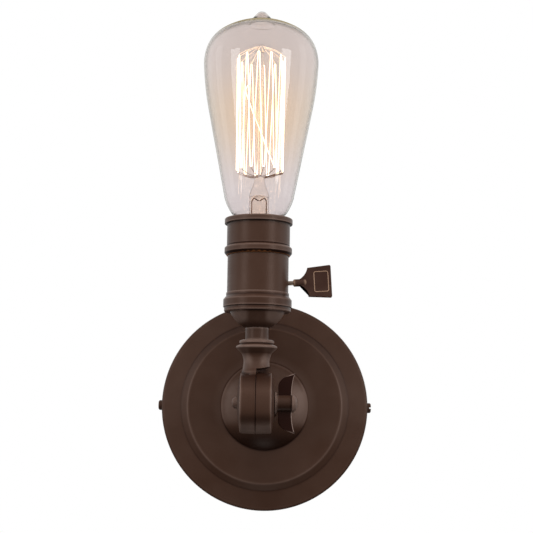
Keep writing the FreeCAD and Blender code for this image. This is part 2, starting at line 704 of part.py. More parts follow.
def head_knuckle():
    neck_start = NECK_FOOT_H - CHEEK_R * NECK_INTO_CHEEK_SHARE
    lower_cove_r = NECK_WAIST_R + (NECK_FOOT_R - NECK_WAIST_R) * NECK_LOWER_COVE_SHARE
    upper_cove_r = NECK_WAIST_R + (NECK_COVE_R - NECK_WAIST_R) * NECK_UPPER_COVE_SHARE
    neck = turned([
        (0, neck_start), (NECK_FOOT_R, neck_start), (NECK_FOOT_R, NECK_FOOT_H),
        ("via", lower_cove_r, (NECK_FOOT_H + NECK_WAIST_H) / 2), (NECK_WAIST_R, NECK_WAIST_H),
        ("via", upper_cove_r, (NECK_WAIST_H + NECK_COVE_H) / 2), (NECK_COVE_R, NECK_COVE_H),
        (NECK_LIP_R, NECK_LIP_H), (NECK_LIP_R, NECK_LIP_H + NECK_LIP_T), (NECK_GROOVE_R, NECK_GROOVE_H),
        (NECK_RING_R, NECK_RING_H), (NECK_RING_R, NECK_RING_H + NECK_RING_L),
        (NECK_RING_SHOULDER_R, NECK_TOP_H), (0, NECK_TOP_H),
    ])
    neck = on_head(neck).cut(notch(1))
    disc = cheek(BOLT_R + SEAT_GAP)
    pocket = turned([
        (POCKET_INNER_R, -OVERRUN), (POCKET_OUTER_R, -OVERRUN), (POCKET_OUTER_R, POCKET_DEPTH),
        (POCKET_INNER_R, POCKET_DEPTH),
    ])
    disc = disc.cut(pocket)
    disc.rotate(ZERO, X_AXIS, 180)
    head = neck.fuse(across_pivot(disc, -FLAT_GAP / 2))
    nipple_bore = Part.makeCylinder(NIPPLE_R + SEAT_GAP, HEAD_NIPPLE_IN_NECK + SEAT_GAP + OVERRUN,
                                    FreeCAD.Vector(0, 0, NECK_TOP_H - HEAD_NIPPLE_IN_NECK - SEAT_GAP))
    head = head.cut(on_head(nipple_bore))
    way_x = -FLAT_GAP / 2 - POCKET_DEPTH / 2
    wire_way = rod(WIRE_BORE_R, FreeCAD.Vector(way_x, 0, POCKET_OUTER_R - WIRE_BORE_R),
                   FreeCAD.Vector(way_x, 0, NECK_TOP_H))
    head = head.cut(on_head(wire_way))
    return head.removeSplitter()


def pivot_bolt():
    shank_end = CHEEK_T + FLAT_GAP + CHEEK_T + SPRING_WASHER_T + BOLT_INTO_NUT
    bolt = turned([
        (0, shank_end), (BOLT_R, shank_end, BOLT_R / 4), (BOLT_R, 0), (BOLT_HEAD_R, 0),
        (BOLT_HEAD_R, -BOLT_HEAD_H * BOLT_HEAD_EDGE_SHARE),
        ("via", BOLT_HEAD_R * BOLT_HEAD_DOME_SHARES[0], -BOLT_HEAD_H * BOLT_HEAD_DOME_SHARES[1]),
        (BOLT_HEAD_R * POLE_FLAT_SHARE, -BOLT_HEAD_H), (0, -BOLT_HEAD_H),
    ])
    return across_pivot(bolt, -FLAT_GAP / 2 - CHEEK_T)


def nut_base_x():
    """Distance from the seam to the wing nut's base."""
    return FLAT_GAP / 2 + CHEEK_T + SPRING_WASHER_T + FLAT_GAP / 2


def nut_washer():
    washer = turned([
        (BOLT_R + RUNNING_GAP, 0), (SPRING_WASHER_R, 0),
        (SPRING_WASHER_R, SPRING_WASHER_T, SPRING_WASHER_T / 4), (BOLT_R + RUNNING_GAP, SPRING_WASHER_T),
    ])
    return across_pivot(washer, FLAT_GAP / 2 + CHEEK_T + SEAT_GAP / 2)


def wing_nut():
    hub = turned([
        (0, 0), (NUT_HUB_R, 0), (NUT_HUB_R, NUT_HUB_L), (NUT_CAP_R, NUT_HUB_L),
        (NUT_CAP_R, NUT_HUB_L + NUT_CAP_EDGE_T),
        ("via", NUT_CAP_R * NUT_CAP_DOME_SHARES[0], NUT_HUB_L + NUT_CAP_H * NUT_CAP_DOME_SHARES[1]),
        (NUT_CAP_R * POLE_FLAT_SHARE, NUT_HUB_L + NUT_CAP_H), (0, NUT_HUB_L + NUT_CAP_H),
    ])
    length = NUT_HUB_L
    reach = WING_REACH
    wing = plate_of([
        (length * WING_BASE_SHARE, 0), (length * WING_INNER_SHARES[0], reach * WING_INNER_SHARES[1]),
        ("via", length * WING_BELLY_SHARES[0], reach * WING_BELLY_SHARES[1]),
        (length * WING_SHOULDER_SHARES[0], reach * WING_SHOULDER_SHARES[1]),
        (length * WING_TIP_SHARES[0], reach * WING_TIP_SHARES[1]),
        ("via", length * WING_HOLLOW_SHARES[0], reach * WING_HOLLOW_SHARES[1]),
        (length * WING_OUTER_SHARES[0], reach * WING_OUTER_SHARES[1]), (length * WING_OUTER_SHARES[0], 0),
    ], WING_T)
    lower = wing.copy()
    lower.rotate(ZERO, X_AXIS, 180)
    hub.rotate(ZERO, Y_AXIS, 90)
    nut = joined([hub, wing, lower])
    nut = nut.cut(rod(BOLT_R + RUNNING_GAP, FreeCAD.Vector(-OVERRUN, 0, 0),
                      FreeCAD.Vector(NUT_HUB_L + NUT_CAP_H - NUT_WALL, 0, 0)))
    nut.translate(FreeCAD.Vector(SEAM_X + nut_base_x(), -PIVOT_OUT, 0))
    return nut


# Socket

def stem_coupling():
    return on_head(ring_tube(NIPPLE_R + SEAT_GAP, COUPLING_R, NECK_TOP_H, COUPLING_TOP_H))


def head_nipple():
    low = NECK_TOP_H - HEAD_NIPPLE_IN_NECK
    high = COUPLING_TOP_H + CAP_SHEET + HEAD_NIPPLE_IN_CAP
    return on_head(ring_tube(WIRE_BORE_R, NIPPLE_R, low, high))


def cup_centre_h():
    """Height of the centre of the ball that the cup is part of."""
    return CUP_TOP_H + math.sqrt(CUP_R ** 2 - CUP_TOP_R ** 2)


def cup_arc(radius, low_r, high_r):
    """Low end, middle and high end of an arc on a ball about the cup's centre, below that centre."""
    centre = cup_centre_h()
    low = (low_r, centre - math.sqrt(radius ** 2 - low_r ** 2))
    high = (high_r, centre - math.sqrt(radius ** 2 - high_r ** 2))
    turn = (math.atan2(low[0], centre - low[1]) + math.atan2(high[0], centre - high[1])) / 2
    return low, (radius * math.sin(turn), centre - radius * math.cos(turn)), high


def socket_cap():
    bore = NIPPLE_R + SEAT_GAP
    inside_r = SHELL_R + SEAT_GAP
    foot_r = math.sqrt(CUP_R ** 2 - (cup_centre_h() - COUPLING_TOP_H) ** 2)
    low, middle, high = cup_arc(CUP_R, foot_r, CUP_TOP_R)
    in_low, in_middle, in_high = cup_arc(CUP_R - CAP_SHEET, foot_r - CAP_SHEET, CUP_TOP_R - CAP_SHEET)
    ring_bottom = CUP_TOP_H
    ring_top = ring_bottom + CAP_LOWER_RING_H
    collar_top = ring_top + CAP_COLLAR_H
    shoulder_top = collar_top + CAP_SHOULDER_H
    seat_h = SHELL_BOTTOM_H - SEAT_GAP
    return on_head(turned([
        (bore, COUPLING_TOP_H), low, ("via", middle[0], middle[1]), high,
        (CAP_LOWER_RING_R, ring_bottom, CAP_LOWER_RING_EDGE), (CAP_LOWER_RING_R, ring_top),
        (CAP_COLLAR_R, ring_top), (CAP_COLLAR_R, collar_top, CAP_LIP_EDGE_R), (CAP_LIP_R, shoulder_top),
        (CAP_LIP_R, CAP_TOP_H, CAP_LIP_EDGE_R),
        (inside_r, CAP_TOP_H), (inside_r, seat_h), (in_high[0], seat_h), in_high,
        ("via", in_middle[0], in_middle[1]), in_low, (bore, in_low[1]),
    ]))


def cap_locknut():
    centre = cup_centre_h()
    inner_floor = centre - math.sqrt((CUP_R - CAP_SHEET) ** 2 - (CAP_NUT_ACROSS / math.sqrt(3)) ** 2)
    nut = hexagon(CAP_NUT_ACROSS, CAP_NUT_H)
    nut = nut.cut(bore_through(NIPPLE_R + SEAT_GAP, CAP_NUT_H))
    nut.translate(FreeCAD.Vector(0, 0, inner_floor))
    return on_head(nut)


def socket_shell():
    top = CAP_TOP_H + SHELL_ABOVE_CAP - SEAT_GAP
    inner_r = SHELL_R - SHELL_SHEET
    tube = on_head(ring_tube(inner_r, SHELL_R, SHELL_BOTTOM_H, top))
    return tube.cut(along_key(KEY_SHAFT_R + SHELL_KEY_SLOT_GAP, ROTOR_L, SHELL_R + OVERRUN))


def shade_ring():
    inner_r = SHELL_R + SEAT_GAP
    bead_mid = SLEEVE_BOTTOM_H + BEAD_H / 2
    bead_top = SLEEVE_BOTTOM_H + BEAD_H
    rim_bottom = RIM_TOP_H - RIM_H
    shell_top = CAP_TOP_H + SHELL_ABOVE_CAP
    return on_head(turned([
        (inner_r, SLEEVE_BOTTOM_H), (SLEEVE_R, SLEEVE_BOTTOM_H), ("via", BEAD_R, bead_mid),
        (SLEEVE_R, bead_top), (SLEEVE_R, rim_bottom), (RIM_R, rim_bottom, RIM_EDGE_ROUND / 2),
        (RIM_R, RIM_TOP_H, RIM_EDGE_ROUND),
        (RIM_LIP_INNER_R, RIM_TOP_H), (RIM_LIP_INNER_R, shell_top), (inner_r, shell_top),
    ]))


def insulating_liner():
    top = RIM_TOP_H - LINER_TOP_BELOW_RIM
    inner_r = LINER_R - LINER_SHEET
    tube = on_head(ring_tube(inner_r, LINER_R, SHELL_BOTTOM_H, top))
    return tube.cut(along_key(KEY_SHAFT_R + SHELL_KEY_SLOT_GAP, ROTOR_L, SHELL_R + OVERRUN))


def switch_block():
    body = on_head(turned([
        (0, SWITCH_BLOCK_BOTTOM_H), (SWITCH_BLOCK_FOOT_R, SWITCH_BLOCK_BOTTOM_H),
        (SWITCH_BLOCK_FOOT_R, SWITCH_BLOCK_BOTTOM_H + SWITCH_BLOCK_FOOT_H),
        (SWITCH_BLOCK_R, SWITCH_BLOCK_BOTTOM_H + SWITCH_BLOCK_FOOT_H), (SWITCH_BLOCK_R, SWITCH_BLOCK_TOP_H),
        (0, SWITCH_BLOCK_TOP_H),
    ]))
    half = ROTOR_L / 2 + ROTOR_GAP
    body = body.cut(along_key(ROTOR_R + ROTOR_GAP, -half, half))
    body = body.cut(along_key(KEY_SHAFT_R + SEAT_GAP, -KEY_SHAFT_IN - SEAT_GAP, SHELL_R))
    slot_x = LEAF_SHEET / 2 + SEAT_GAP
    slot_y = LEAF_WIDTH / 2 + SEAT_GAP
    slot = block((-slot_x, -slot_y, KEY_H), (slot_x, slot_y, SWITCH_BLOCK_TOP_H + OVERRUN))
    body = body.cut(on_head(slot))
    for side in (-1, 1):
        near = SWITCH_BLOCK_R - TERMINAL_FLAT_DEPTH
        low_y, high_y = sorted((side * near, side * (SWITCH_BLOCK_R + OVERRUN)))
        flat = block((-SWITCH_BLOCK_R, low_y, SWITCH_BLOCK_BOTTOM_H - OVERRUN),
                     (SWITCH_BLOCK_R, high_y, TERMINAL_H + TERMINAL_HEAD_R + SEAT_GAP * 4))
        body = body.cut(on_head(flat))
        hole = rod(TERMINAL_SHANK_R, FreeCAD.Vector(0, side * (near - TERMINAL_SHANK_L), TERMINAL_H),
                   FreeCAD.Vector(0, side * SWITCH_BLOCK_R, TERMINAL_H))
        body = body.cut(on_head(hole))
    return body.removeSplitter()


def terminal_screws():
    screws = []
    for side in (-1, 1):
        screw = slotted_screw(TERMINAL_SHANK_R, TERMINAL_SHANK_L, TERMINAL_HEAD_R, TERMINAL_HEAD_T,
                              SIDE_SCREW_SLOT_W, TERMINAL_HEAD_T / 2)
        screw.rotate(ZERO, X_AXIS, -side * 90)
        near = SWITCH_BLOCK_R - TERMINAL_FLAT_DEPTH
        screw.translate(FreeCAD.Vector(0, side * near, TERMINAL_H))
        screws.append(on_head(screw))
    return Part.makeCompound(screws)


def ridged_tube(crest_r, ridge, sheet, low, high):
    """Thin tube about +Z with rounded thread ridges that stand out from it."""
    root_r = crest_r - ridge
    outer = [(root_r, low)]
    inner = [(root_r - sheet, low)]
    for k in range(THREAD_TURNS):
        middle = FIRST_RIDGE_H + k * THREAD_PITCH
        half = THREAD_PITCH * THREAD_HALF_RIDGE_SHARE
        for line, base in ((outer, root_r), (inner, root_r - sheet)):
            line.append((base, middle - half))
            line.append(("via", base + ridge, middle))
            line.append((base, middle + half))
    outer.append((root_r, high))
    inner.append((root_r - sheet, high))
    return turned(outer + inner[::-1])


def screw_shell():
    outer_r = SCREW_SHELL_CREST_R + SCREW_SHELL_SHEET
    floor_top = SWITCH_BLOCK_TOP_H + SCREW_SHELL_SHEET
    tube = ridged_tube(outer_r + SCREW_SHELL_RIDGE, SCREW_SHELL_RIDGE, SCREW_SHELL_SHEET,
                       SWITCH_BLOCK_TOP_H, SCREW_SHELL_TOP_H)
    floor = ring_tube(SCREW_SHELL_FLOOR_R, outer_r, SWITCH_BLOCK_TOP_H, floor_top)
    whole = joined([tube, floor])
    relief_y = CONTACT_WIDTH / 2 + LINER_SHEET
    relief = block((-SCREW_SHELL_CREST_R, -relief_y, SWITCH_BLOCK_TOP_H - OVERRUN),
                   (0, relief_y, floor_top + CONTACT_SHEET))
    inner = Part.makeCylinder(SCREW_SHELL_CREST_R - SEAT_GAP, SWITCH_BLOCK_TOP_H)
    inner.translate(FreeCAD.Vector(0, 0, SWITCH_BLOCK_TOP_H - OVERRUN))
    return on_head(whole.cut(relief.common(inner)))


def centre_contact():
    low = SWITCH_BLOCK_TOP_H
    high = BULB_CONTACT_H - SEAT_GAP
    sheet = CONTACT_SHEET
    half = CONTACT_WIDTH / 2
    tongue = CONTACT_TONGUE_X
    strip = joined([
        block((-CONTACT_FOOT_X, -half, low), (tongue, half, low + sheet)),
        block((tongue, -half, low), (tongue + sheet, half, high)),
        block((-tongue, -half, high - sheet), (tongue + sheet, half, high)),
    ])
    return on_head(strip)


def switch_leaf():
    rotor_top = KEY_H - SHELL_R * math.tan(KEY_CANT) + ROTOR_R + ROTOR_GAP
    return on_head(block((-LEAF_SHEET / 2, -LEAF_WIDTH / 2, rotor_top),
                         (LEAF_SHEET / 2, LEAF_WIDTH / 2, SWITCH_BLOCK_TOP_H)))


# Turn key

def key_start():
    """Distance along the shaft from the head's axis to the key's collar."""
    return SHELL_R + KEY_SHAFT_SHOWN


def key_shaft():
    return along_key(KEY_SHAFT_R, -KEY_SHAFT_IN, key_start() + KEY_SHAFT_GRIP)


def key_paddle():
    collar_end = key_start() + KEY_COLLAR_L
    inner_at = collar_end + KEY_FLARE_L
    outer_at = inner_at + KEY_PADDLE_L
    half_in = KEY_INNER_W / 2
    half_out = KEY_OUTER_W / 2
    run = math.hypot(KEY_FLARE_L, half_in - KEY_COLLAR_R)
    sag_along = KEY_FLARE_SAG * (half_in - KEY_COLLAR_R) / run
    sag_across = KEY_FLARE_SAG * KEY_FLARE_L / run
    via_at = (collar_end + inner_at) / 2 + sag_along
    via_out = (KEY_COLLAR_R + half_in) / 2 - sag_across
    paddle = plate_of([
        (collar_end - KEY_COLLAR_R, -KEY_COLLAR_R), (collar_end, -KEY_COLLAR_R), ("via", via_at, -via_out),
        (inner_at, -half_in), (outer_at, -half_out, KEY_CORNER_R), (outer_at, half_out, KEY_CORNER_R),
        (inner_at, half_in), ("via", via_at, via_out), (collar_end, KEY_COLLAR_R),
        (collar_end - KEY_COLLAR_R, KEY_COLLAR_R),
    ], KEY_T)
    frame_out = outer_at - KEY_FRAME_FROM_OUTER
    frame_in = frame_out - KEY_FRAME_L
    half_frame = KEY_FRAME_W / 2
    line = KEY_FRAME_LINE
    outer = plate_of([
        (frame_in, -half_frame, KEY_FRAME_CORNER_R), (frame_out, -half_frame, KEY_FRAME_CORNER_R),
        (frame_out, half_frame, KEY_FRAME_CORNER_R), (frame_in, half_frame, KEY_FRAME_CORNER_R),
    ], KEY_T + 2 * KEY_FRAME_RAISE)
    inner = plate_of([
        (frame_in + line, line - half_frame, KEY_FRAME_CORNER_R - line),
        (frame_out - line, line - half_frame, KEY_FRAME_CORNER_R - line),
        (frame_out - line, half_frame - line, KEY_FRAME_CORNER_R - line),
        (frame_in + line, half_frame - line, KEY_FRAME_CORNER_R - line),
    ], KEY_T + OVERRUN)
    frame = outer.cut(inner)
    collar = rod(KEY_COLLAR_R, FreeCAD.Vector(key_start(), 0, 0), FreeCAD.Vector(inner_at, 0, 0))
    key = joined([paddle, collar, frame])
    grip = rod(KEY_SHAFT_R + SEAT_GAP / 4, FreeCAD.Vector(key_start() - OVERRUN, 0, 0),
               FreeCAD.Vector(key_start() + KEY_SHAFT_GRIP + SEAT_GAP, 0, 0))
    return on_key_axis(key.cut(grip))


def switch_rotor():
    drum = rod(ROTOR_R, FreeCAD.Vector(-ROTOR_L / 2, 0, 0), FreeCAD.Vector(ROTOR_L / 2, 0, 0))
    bore = rod(KEY_SHAFT_R + SEAT_GAP / 4, FreeCAD.Vector(-ROTOR_L, 0, 0), FreeCAD.Vector(ROTOR_L, 0, 0))
    drum = drum.cut(bore)
    flat_at = ROTOR_R - ROTOR_FLAT_DEPTH
    for side in (-1, 1):
        low_y, high_y = sorted((side * flat_at, side * (ROTOR_R + OVERRUN)))
        flat = block((-ROTOR_L / 4, low_y, -ROTOR_R - OVERRUN), (ROTOR_L / 4, high_y, ROTOR_R + OVERRUN))
        drum = drum.cut(flat)
    return on_key_axis(drum)


# Bulb

def crown_arcs(inset):
    """Radii and joints of the three tangent arcs over the widest ring: side, shoulder and top."""
    side_r = BULB_D / 2
    rise = BULB_TOP_H - BULB_WIDEST_H
    shoulder_x = side_r - CROWN_SHOULDER_FROM_SIDE
    shoulder_h = rise - CROWN_SHOULDER_FROM_TOP
    side = (CROWN_SHOULDER_FROM_SIDE ** 2 + shoulder_h ** 2 - CROWN_SHOULDER_R ** 2) / (
        2 * (CROWN_SHOULDER_FROM_SIDE - CROWN_SHOULDER_R))
    top = (CROWN_SHOULDER_FROM_TOP ** 2 + shoulder_x ** 2 - CROWN_SHOULDER_R ** 2) / (
        2 * (CROWN_SHOULDER_FROM_TOP - CROWN_SHOULDER_R))
    side_turn = math.atan2(shoulder_h, shoulder_x - side_r + side)
    top_turn = math.atan2(shoulder_h - rise + top, shoulder_x)

    def at(centre_x, centre_h, radius, turn):
        reach = radius - inset
        return centre_x + reach * math.cos(turn), BULB_WIDEST_H + centre_h + reach * math.sin(turn)

    tip_turn = math.acos(TIP_R / top)
    side_arc = (side_r - side, 0.0, side)
    shoulder_arc = (shoulder_x, shoulder_h, CROWN_SHOULDER_R)
    top_arc = (0.0, rise - top, top)
    return [
        at(*side_arc, 0.0), ("via",) + at(*side_arc, side_turn / 2),
        at(*shoulder_arc, side_turn), ("via",) + at(*shoulder_arc, (side_turn + top_turn) / 2),
        at(*shoulder_arc, top_turn), ("via",) + at(*top_arc, (top_turn + tip_turn) / 2),
        at(*top_arc, tip_turn),
    ], at(*top_arc, math.pi / 2)


def taper_arcs(inset):
    """Outline from the neck's lower end up to just under the widest ring."""
    neck_r = BULB_NECK_R - inset
    widen = BULB_D / 2 - BULB_NECK_R
    neck_end = BULB_BASE_TOP_H + SEAT_GAP
    climb = BULB_WIDEST_H - neck_end

    def at(shares):
        return neck_r + widen * shares[1], neck_end + climb * shares[0]

    return [
        (neck_r, BULB_NECK_H), (neck_r, neck_end),
        ("via",) + at(NECK_HOLLOW_SHARES[0]), at(NECK_HOLLOW_SHARES[1]),
        ("via",) + at(NECK_SWELL_SHARES[0]), at(NECK_SWELL_SHARES[1]),
        at(TAPER_END_SHARES), ("via",) + at(SIDE_SHARES),
    ]


def bulb_glass():
    crown, apex = crown_arcs(0.0)
    inner_crown, inner_apex = crown_arcs(BULB_GLASS_T)

    def on_tip(shares):
        return TIP_R * shares[0], BULB_TOP_H + TIP_H * shares[1]

    tip = [
        ("via",) + on_tip(TIP_FILLET_SHARES), on_tip(TIP_NOSE_SHARES), ("via",) + on_tip(TIP_ROUND_SHARES),
        (TIP_R * POLE_FLAT_SHARE / 2, BULB_TOP_H + TIP_H), (0, BULB_TOP_H + TIP_H),
    ]
    outer = taper_arcs(0.0) + crown + tip
    inner = taper_arcs(BULB_GLASS_T) + inner_crown + [inner_apex]
    return on_head(turned(outer + inner[::-1]))


def bulb_screw_base():
    tube = ridged_tube(THREAD_CREST_R, THREAD_RIDGE, BULB_BASE_SHEET, BULB_BASE_BOTTOM_H, BULB_BASE_TOP_H)
    neck_gap = BULB_NECK_R + SEAT_GAP
    collar = turned([
        (neck_gap, BULB_NECK_H), (THREAD_CREST_R, BULB_NECK_H + THREAD_RIDGE),
        (THREAD_CREST_R, BULB_BASE_TOP_H), (neck_gap, BULB_BASE_TOP_H),
    ])
    neck_seat = Part.makeCylinder(neck_gap, BULB_BASE_TOP_H, FreeCAD.Vector(0, 0, BULB_NECK_H))
    return on_head(joined([tube, collar]).cut(neck_seat))


def bulb_base_insulator():
    top_r = THREAD_CREST_R - THREAD_RIDGE
    return on_head(turned([
        (0, BULB_INSULATOR_BASE_H), (BULB_CONTACT_R, BULB_INSULATOR_BASE_H),
        (BULB_INSULATOR_TOP_R, BULB_BASE_BOTTOM_H - BULB_CONTACT_T), (top_r, BULB_BASE_BOTTOM_H),
        (0, BULB_BASE_BOTTOM_H),
    ]))


def bulb_base_contact():
    return on_head(turned([
        (0, BULB_CONTACT_H), (BULB_CONTACT_R * BULB_CONTACT_NOSE_SHARE, BULB_CONTACT_H),
        (BULB_CONTACT_R, BULB_INSULATOR_BASE_H), (0, BULB_INSULATOR_BASE_H),
    ]))


def bulb_stem():
    wall = STEM_TUBE_WALL
    tube = turned([
        (STEM_FLARE_R - wall, BULB_NECK_H), (STEM_FLARE_R, BULB_NECK_H),
        (STEM_TUBE_R, BULB_NECK_H + STEM_FLARE_R / 2), (STEM_TUBE_R, STEM_SHOULDER_H),
        (STEM_PRESS_R, STEM_PRESS_H), (0, STEM_PRESS_H), (0, STEM_SHOULDER_H),
        (STEM_TUBE_R - wall, STEM_SHOULDER_H - wall),
        (STEM_TUBE_R - wall, BULB_NECK_H + STEM_FLARE_R / 2 + wall),
    ])
    core = rod(STEM_ROD_R, FreeCAD.Vector(0, 0, STEM_PRESS_H - wall), FreeCAD.Vector(0, 0, STEM_ROD_TOP_H))
    top = Part.makeSphere(STEM_BUTTON_R, FreeCAD.Vector(0, 0, STEM_ROD_TOP_H))
    return on_head(joined([tube, core, top]))


def cage_point(k, count, radius, height, turn=0.0):
    """k-th of a ring of places about the bulb's axis."""
    angle = 2 * math.pi * (k + turn) / count
    return FreeCAD.Vector(radius * math.cos(angle), radius * math.sin(angle), height)


def wire_path(points, radius):
    """Round wire through the points, with a ball at each bend."""
    pieces = []
    for start, end in zip(points, points[1:]):
        pieces.append(rod(radius, start, end))
    for point in points[1:-1]:
        pieces.append(Part.makeSphere(radius, point))
    return joined(pieces)


def strand_points():
    """The lit strand runs up and down the cage, from one lead wire's tip to the other's."""
    points = []
    for k in range(STRAND_RUNS):
        points.append(cage_point(k, STRAND_RUNS, CAGE_BOTTOM_R, CAGE_BOTTOM_H, 0.0))
        points.append(cage_point(k, STRAND_RUNS, CAGE_TOP_R, CAGE_TOP_H, 0.5))
    points.append(cage_point(STRAND_RUNS, STRAND_RUNS, CAGE_BOTTOM_R, CAGE_BOTTOM_H, -0.22))
    return points


def bulb_filament():
    return on_head(wire_path(strand_points(), STRAND_R))


def bulb_supports():
    """Fine wires that hold the strand: a fan from the top bead, and hooks from the lower button."""
    wires = []
    gap = SUPPORT_WIRE_R + STRAND_R
    press_slope = (STEM_TUBE_R - STEM_PRESS_R) / STEM_PRESS_L
    root_r = STEM_PRESS_R + press_slope * HOOK_ROOT_DROP + SEAT_GAP
    for k in range(STRAND_RUNS):
        foot = cage_point(k, STRAND_RUNS, STEM_BUTTON_R + SEAT_GAP, STEM_ROD_TOP_H, 0.5)
        tip = cage_point(k, STRAND_RUNS, CAGE_TOP_R, CAGE_TOP_H + gap + SEAT_GAP, 0.5)
        wires.append(rod(SUPPORT_WIRE_R, foot, tip))
    for k in range(1, STRAND_RUNS):
        foot = cage_point(k, STRAND_RUNS, root_r, STEM_PRESS_H - HOOK_ROOT_DROP)
        tip = cage_point(k, STRAND_RUNS, CAGE_BOTTOM_R, CAGE_BOTTOM_H - gap - SEAT_GAP)
        wires.append(rod(SUPPORT_WIRE_R, foot, tip))
    return on_head(Part.makeCompound(wires))


def bulb_lead_wires():
    points = strand_points()
    gap = LEAD_WIRE_R + STRAND_R + SEAT_GAP
    drop = FreeCAD.Vector(0, 0, gap)
    leads = []
    for tip, side in ((points[0], 1), (points[-1], -1)):
        low = FreeCAD.Vector(side * (STEM_TUBE_R - STEM_TUBE_WALL - LEAD_WIRE_R * 2), 0, BULB_NECK_H)
        high = FreeCAD.Vector(low.x, low.y, STEM_SHOULDER_H - STEM_TUBE_WALL - LEAD_WIRE_R * 2)
        leads.append(rod(LEAD_WIRE_R, low, high))
        out = FreeCAD.Vector(tip.x, tip.y, 0)
        out.normalize()
        root = out * (STEM_PRESS_R + LEAD_WIRE_R + SEAT_GAP)
        root.z = STEM_PRESS_H - LEAD_WIRE_R * 2
        leads.append(rod(LEAD_WIRE_R, root, tip - drop))
    return on_head(Part.makeCompound(leads))


NODES = {
    "backplate": backplate,
    "mounting_strap": mounting_strap,
    "side_screws": side_screws,
    "ground_screw": ground_screw,
    "arm_nipple": arm_nipple,
    "nipple_lockwasher": nipple_lockwasher,
    "nipple_locknut": nipple_locknut,
    "wall_arm": wall_arm,
    "head_knuckle": head_knuckle,
    "pivot_bolt": pivot_bolt,
    "nut_washer": nut_washer,
    "wing_nut": wing_nut,
    "stem_coupling": stem_coupling,
    "head_nipple": head_nipple,
    "socket_cap": socket_cap,
    "cap_locknut": cap_locknut,
    "socket_shell": socket_shell,
    "shade_ring": shade_ring,
    "insulating_liner": insulating_liner,
    "switch_block": switch_block,
    "terminal_screws": terminal_screws,
    "screw_shell": screw_shell,
    "centre_contact": centre_contact,
    "switch_leaf": switch_leaf,
    "key_shaft": key_shaft,
    "key_paddle": key_paddle,
    "switch_rotor": switch_rotor,
    "bulb_glass": bulb_glass,
    "bulb_screw_base": bulb_screw_base,
    "bulb_base_insulator": bulb_base_insulator,
    "bulb_base_contact": bulb_base_contact,
    "bulb_stem": bulb_stem,
    "bulb_supports": bulb_supports,
    "bulb_lead_wires": bulb_lead_wires,
    "bulb_filament": bulb_filament,
}


def main():
    os.makedirs("parts", exist_ok=True)
    for name, make in NODES.items():
        shape = make()
        shape.exportStep("parts/" + name + ".step")
        box = shape.BoundBox
        print("%-20s solids %2d valid %s volume %9.1f  x %7.2f %7.2f  y %7.2f %7.2f  z %7.2f %7.2f" % (
            name, len(shape.Solids), shape.isValid(), shape.Volume,
            box.XMin, box.XMax, box.YMin, box.YMax, box.ZMin, box.ZMax))


main()
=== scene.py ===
"""Swivel wall sconce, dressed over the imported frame.

Sizes are in millimetres and are turned to metres where a mesh is written. Each class below is one sub-assembly:
it holds its sizes as fields, builds its meshes from outlines and paths, and gives each piece its finish and body.
"""

import json
import logging
import math
from contextlib import contextmanager
from dataclasses import dataclass, replace
from enum import Enum
from functools import lru_cache
from typing import Any, Callable, Iterator, Sequence

import bmesh
import bpy
import numpy as np
from mathutils import Matrix, Vector


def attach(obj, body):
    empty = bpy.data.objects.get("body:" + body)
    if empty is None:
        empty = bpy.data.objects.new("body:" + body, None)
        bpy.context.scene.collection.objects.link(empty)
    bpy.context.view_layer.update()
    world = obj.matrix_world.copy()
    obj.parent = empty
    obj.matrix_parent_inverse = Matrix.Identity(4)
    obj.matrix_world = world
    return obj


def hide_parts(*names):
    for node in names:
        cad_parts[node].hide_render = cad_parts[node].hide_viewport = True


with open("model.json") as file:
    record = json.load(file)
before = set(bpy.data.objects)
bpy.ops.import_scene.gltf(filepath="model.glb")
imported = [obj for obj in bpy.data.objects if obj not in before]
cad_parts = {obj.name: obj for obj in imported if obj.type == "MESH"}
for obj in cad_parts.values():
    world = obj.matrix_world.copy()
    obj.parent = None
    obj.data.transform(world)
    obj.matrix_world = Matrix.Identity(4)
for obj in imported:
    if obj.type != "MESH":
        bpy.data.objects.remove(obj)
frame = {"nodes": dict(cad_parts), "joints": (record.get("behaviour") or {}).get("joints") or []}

LOG = logging.getLogger("sconce")
MM = 0.001
TURN = 2 * math.pi

# How outlines are traced: lengths in mm, angles in radians, and shares of a side's length
ARC_RUN, ARC_TURN, ARC_LEAST, ARC_MOST = 0.9, 0.2, 3, 60
STRAIGHT_HALF, ROUNDING_SHARE = 1.54, 0.48
NEAR_ENDS, NEAR_SHARE = (0.12, 0.45, 1.1), 0.4
EVEN_FROM, EVEN_TO, EVEN_STEP = 3.0, 2.0, 3.5
PLAIN_EDGE, TOOL_EDGE, NO_AREA, SAME_SPOT = 0.15, 0.02, 1e-9, 1e-4
RUB_REACH, RUB_TURN, WORN_REACH = 0.5, math.pi / 3, 0.3

# How meshes are closed: gaps in metres, a slab's rounding in steps and mm, creases in degrees, and the share of
# its radius that a wire's end narrows to
WELD, SLIVER, CUT_WELD, CUT_SLIVER = 1e-6, 1e-7, 2e-6, 1e-6
EDGE_STEPS, FACE_BAND, FACE_GAP, CREASE, WIRE_CAP = 5, 0.12, 0.01, 38.0, 0.7

# Short names of types. A solid is its points and its faces
Array, Mesh, Tree, Wire = np.ndarray, bpy.types.Mesh, bpy.types.NodeTree, bpy.types.NodeSocket
Range = tuple[float, float]
Triple = tuple[float, float, float]
Solid = tuple[Array, Array]


class Body(Enum):
    """Moving bodies of the frame."""

    WALL = "wall_mount"
    HEAD = "head"
    WASHER = "nut_washer"
    WING_NUT = "wing_nut"
    KEY = "key"
    BULB_FOOT = "bulb_foot"
    BULB = "bulb"


# Places and outlines

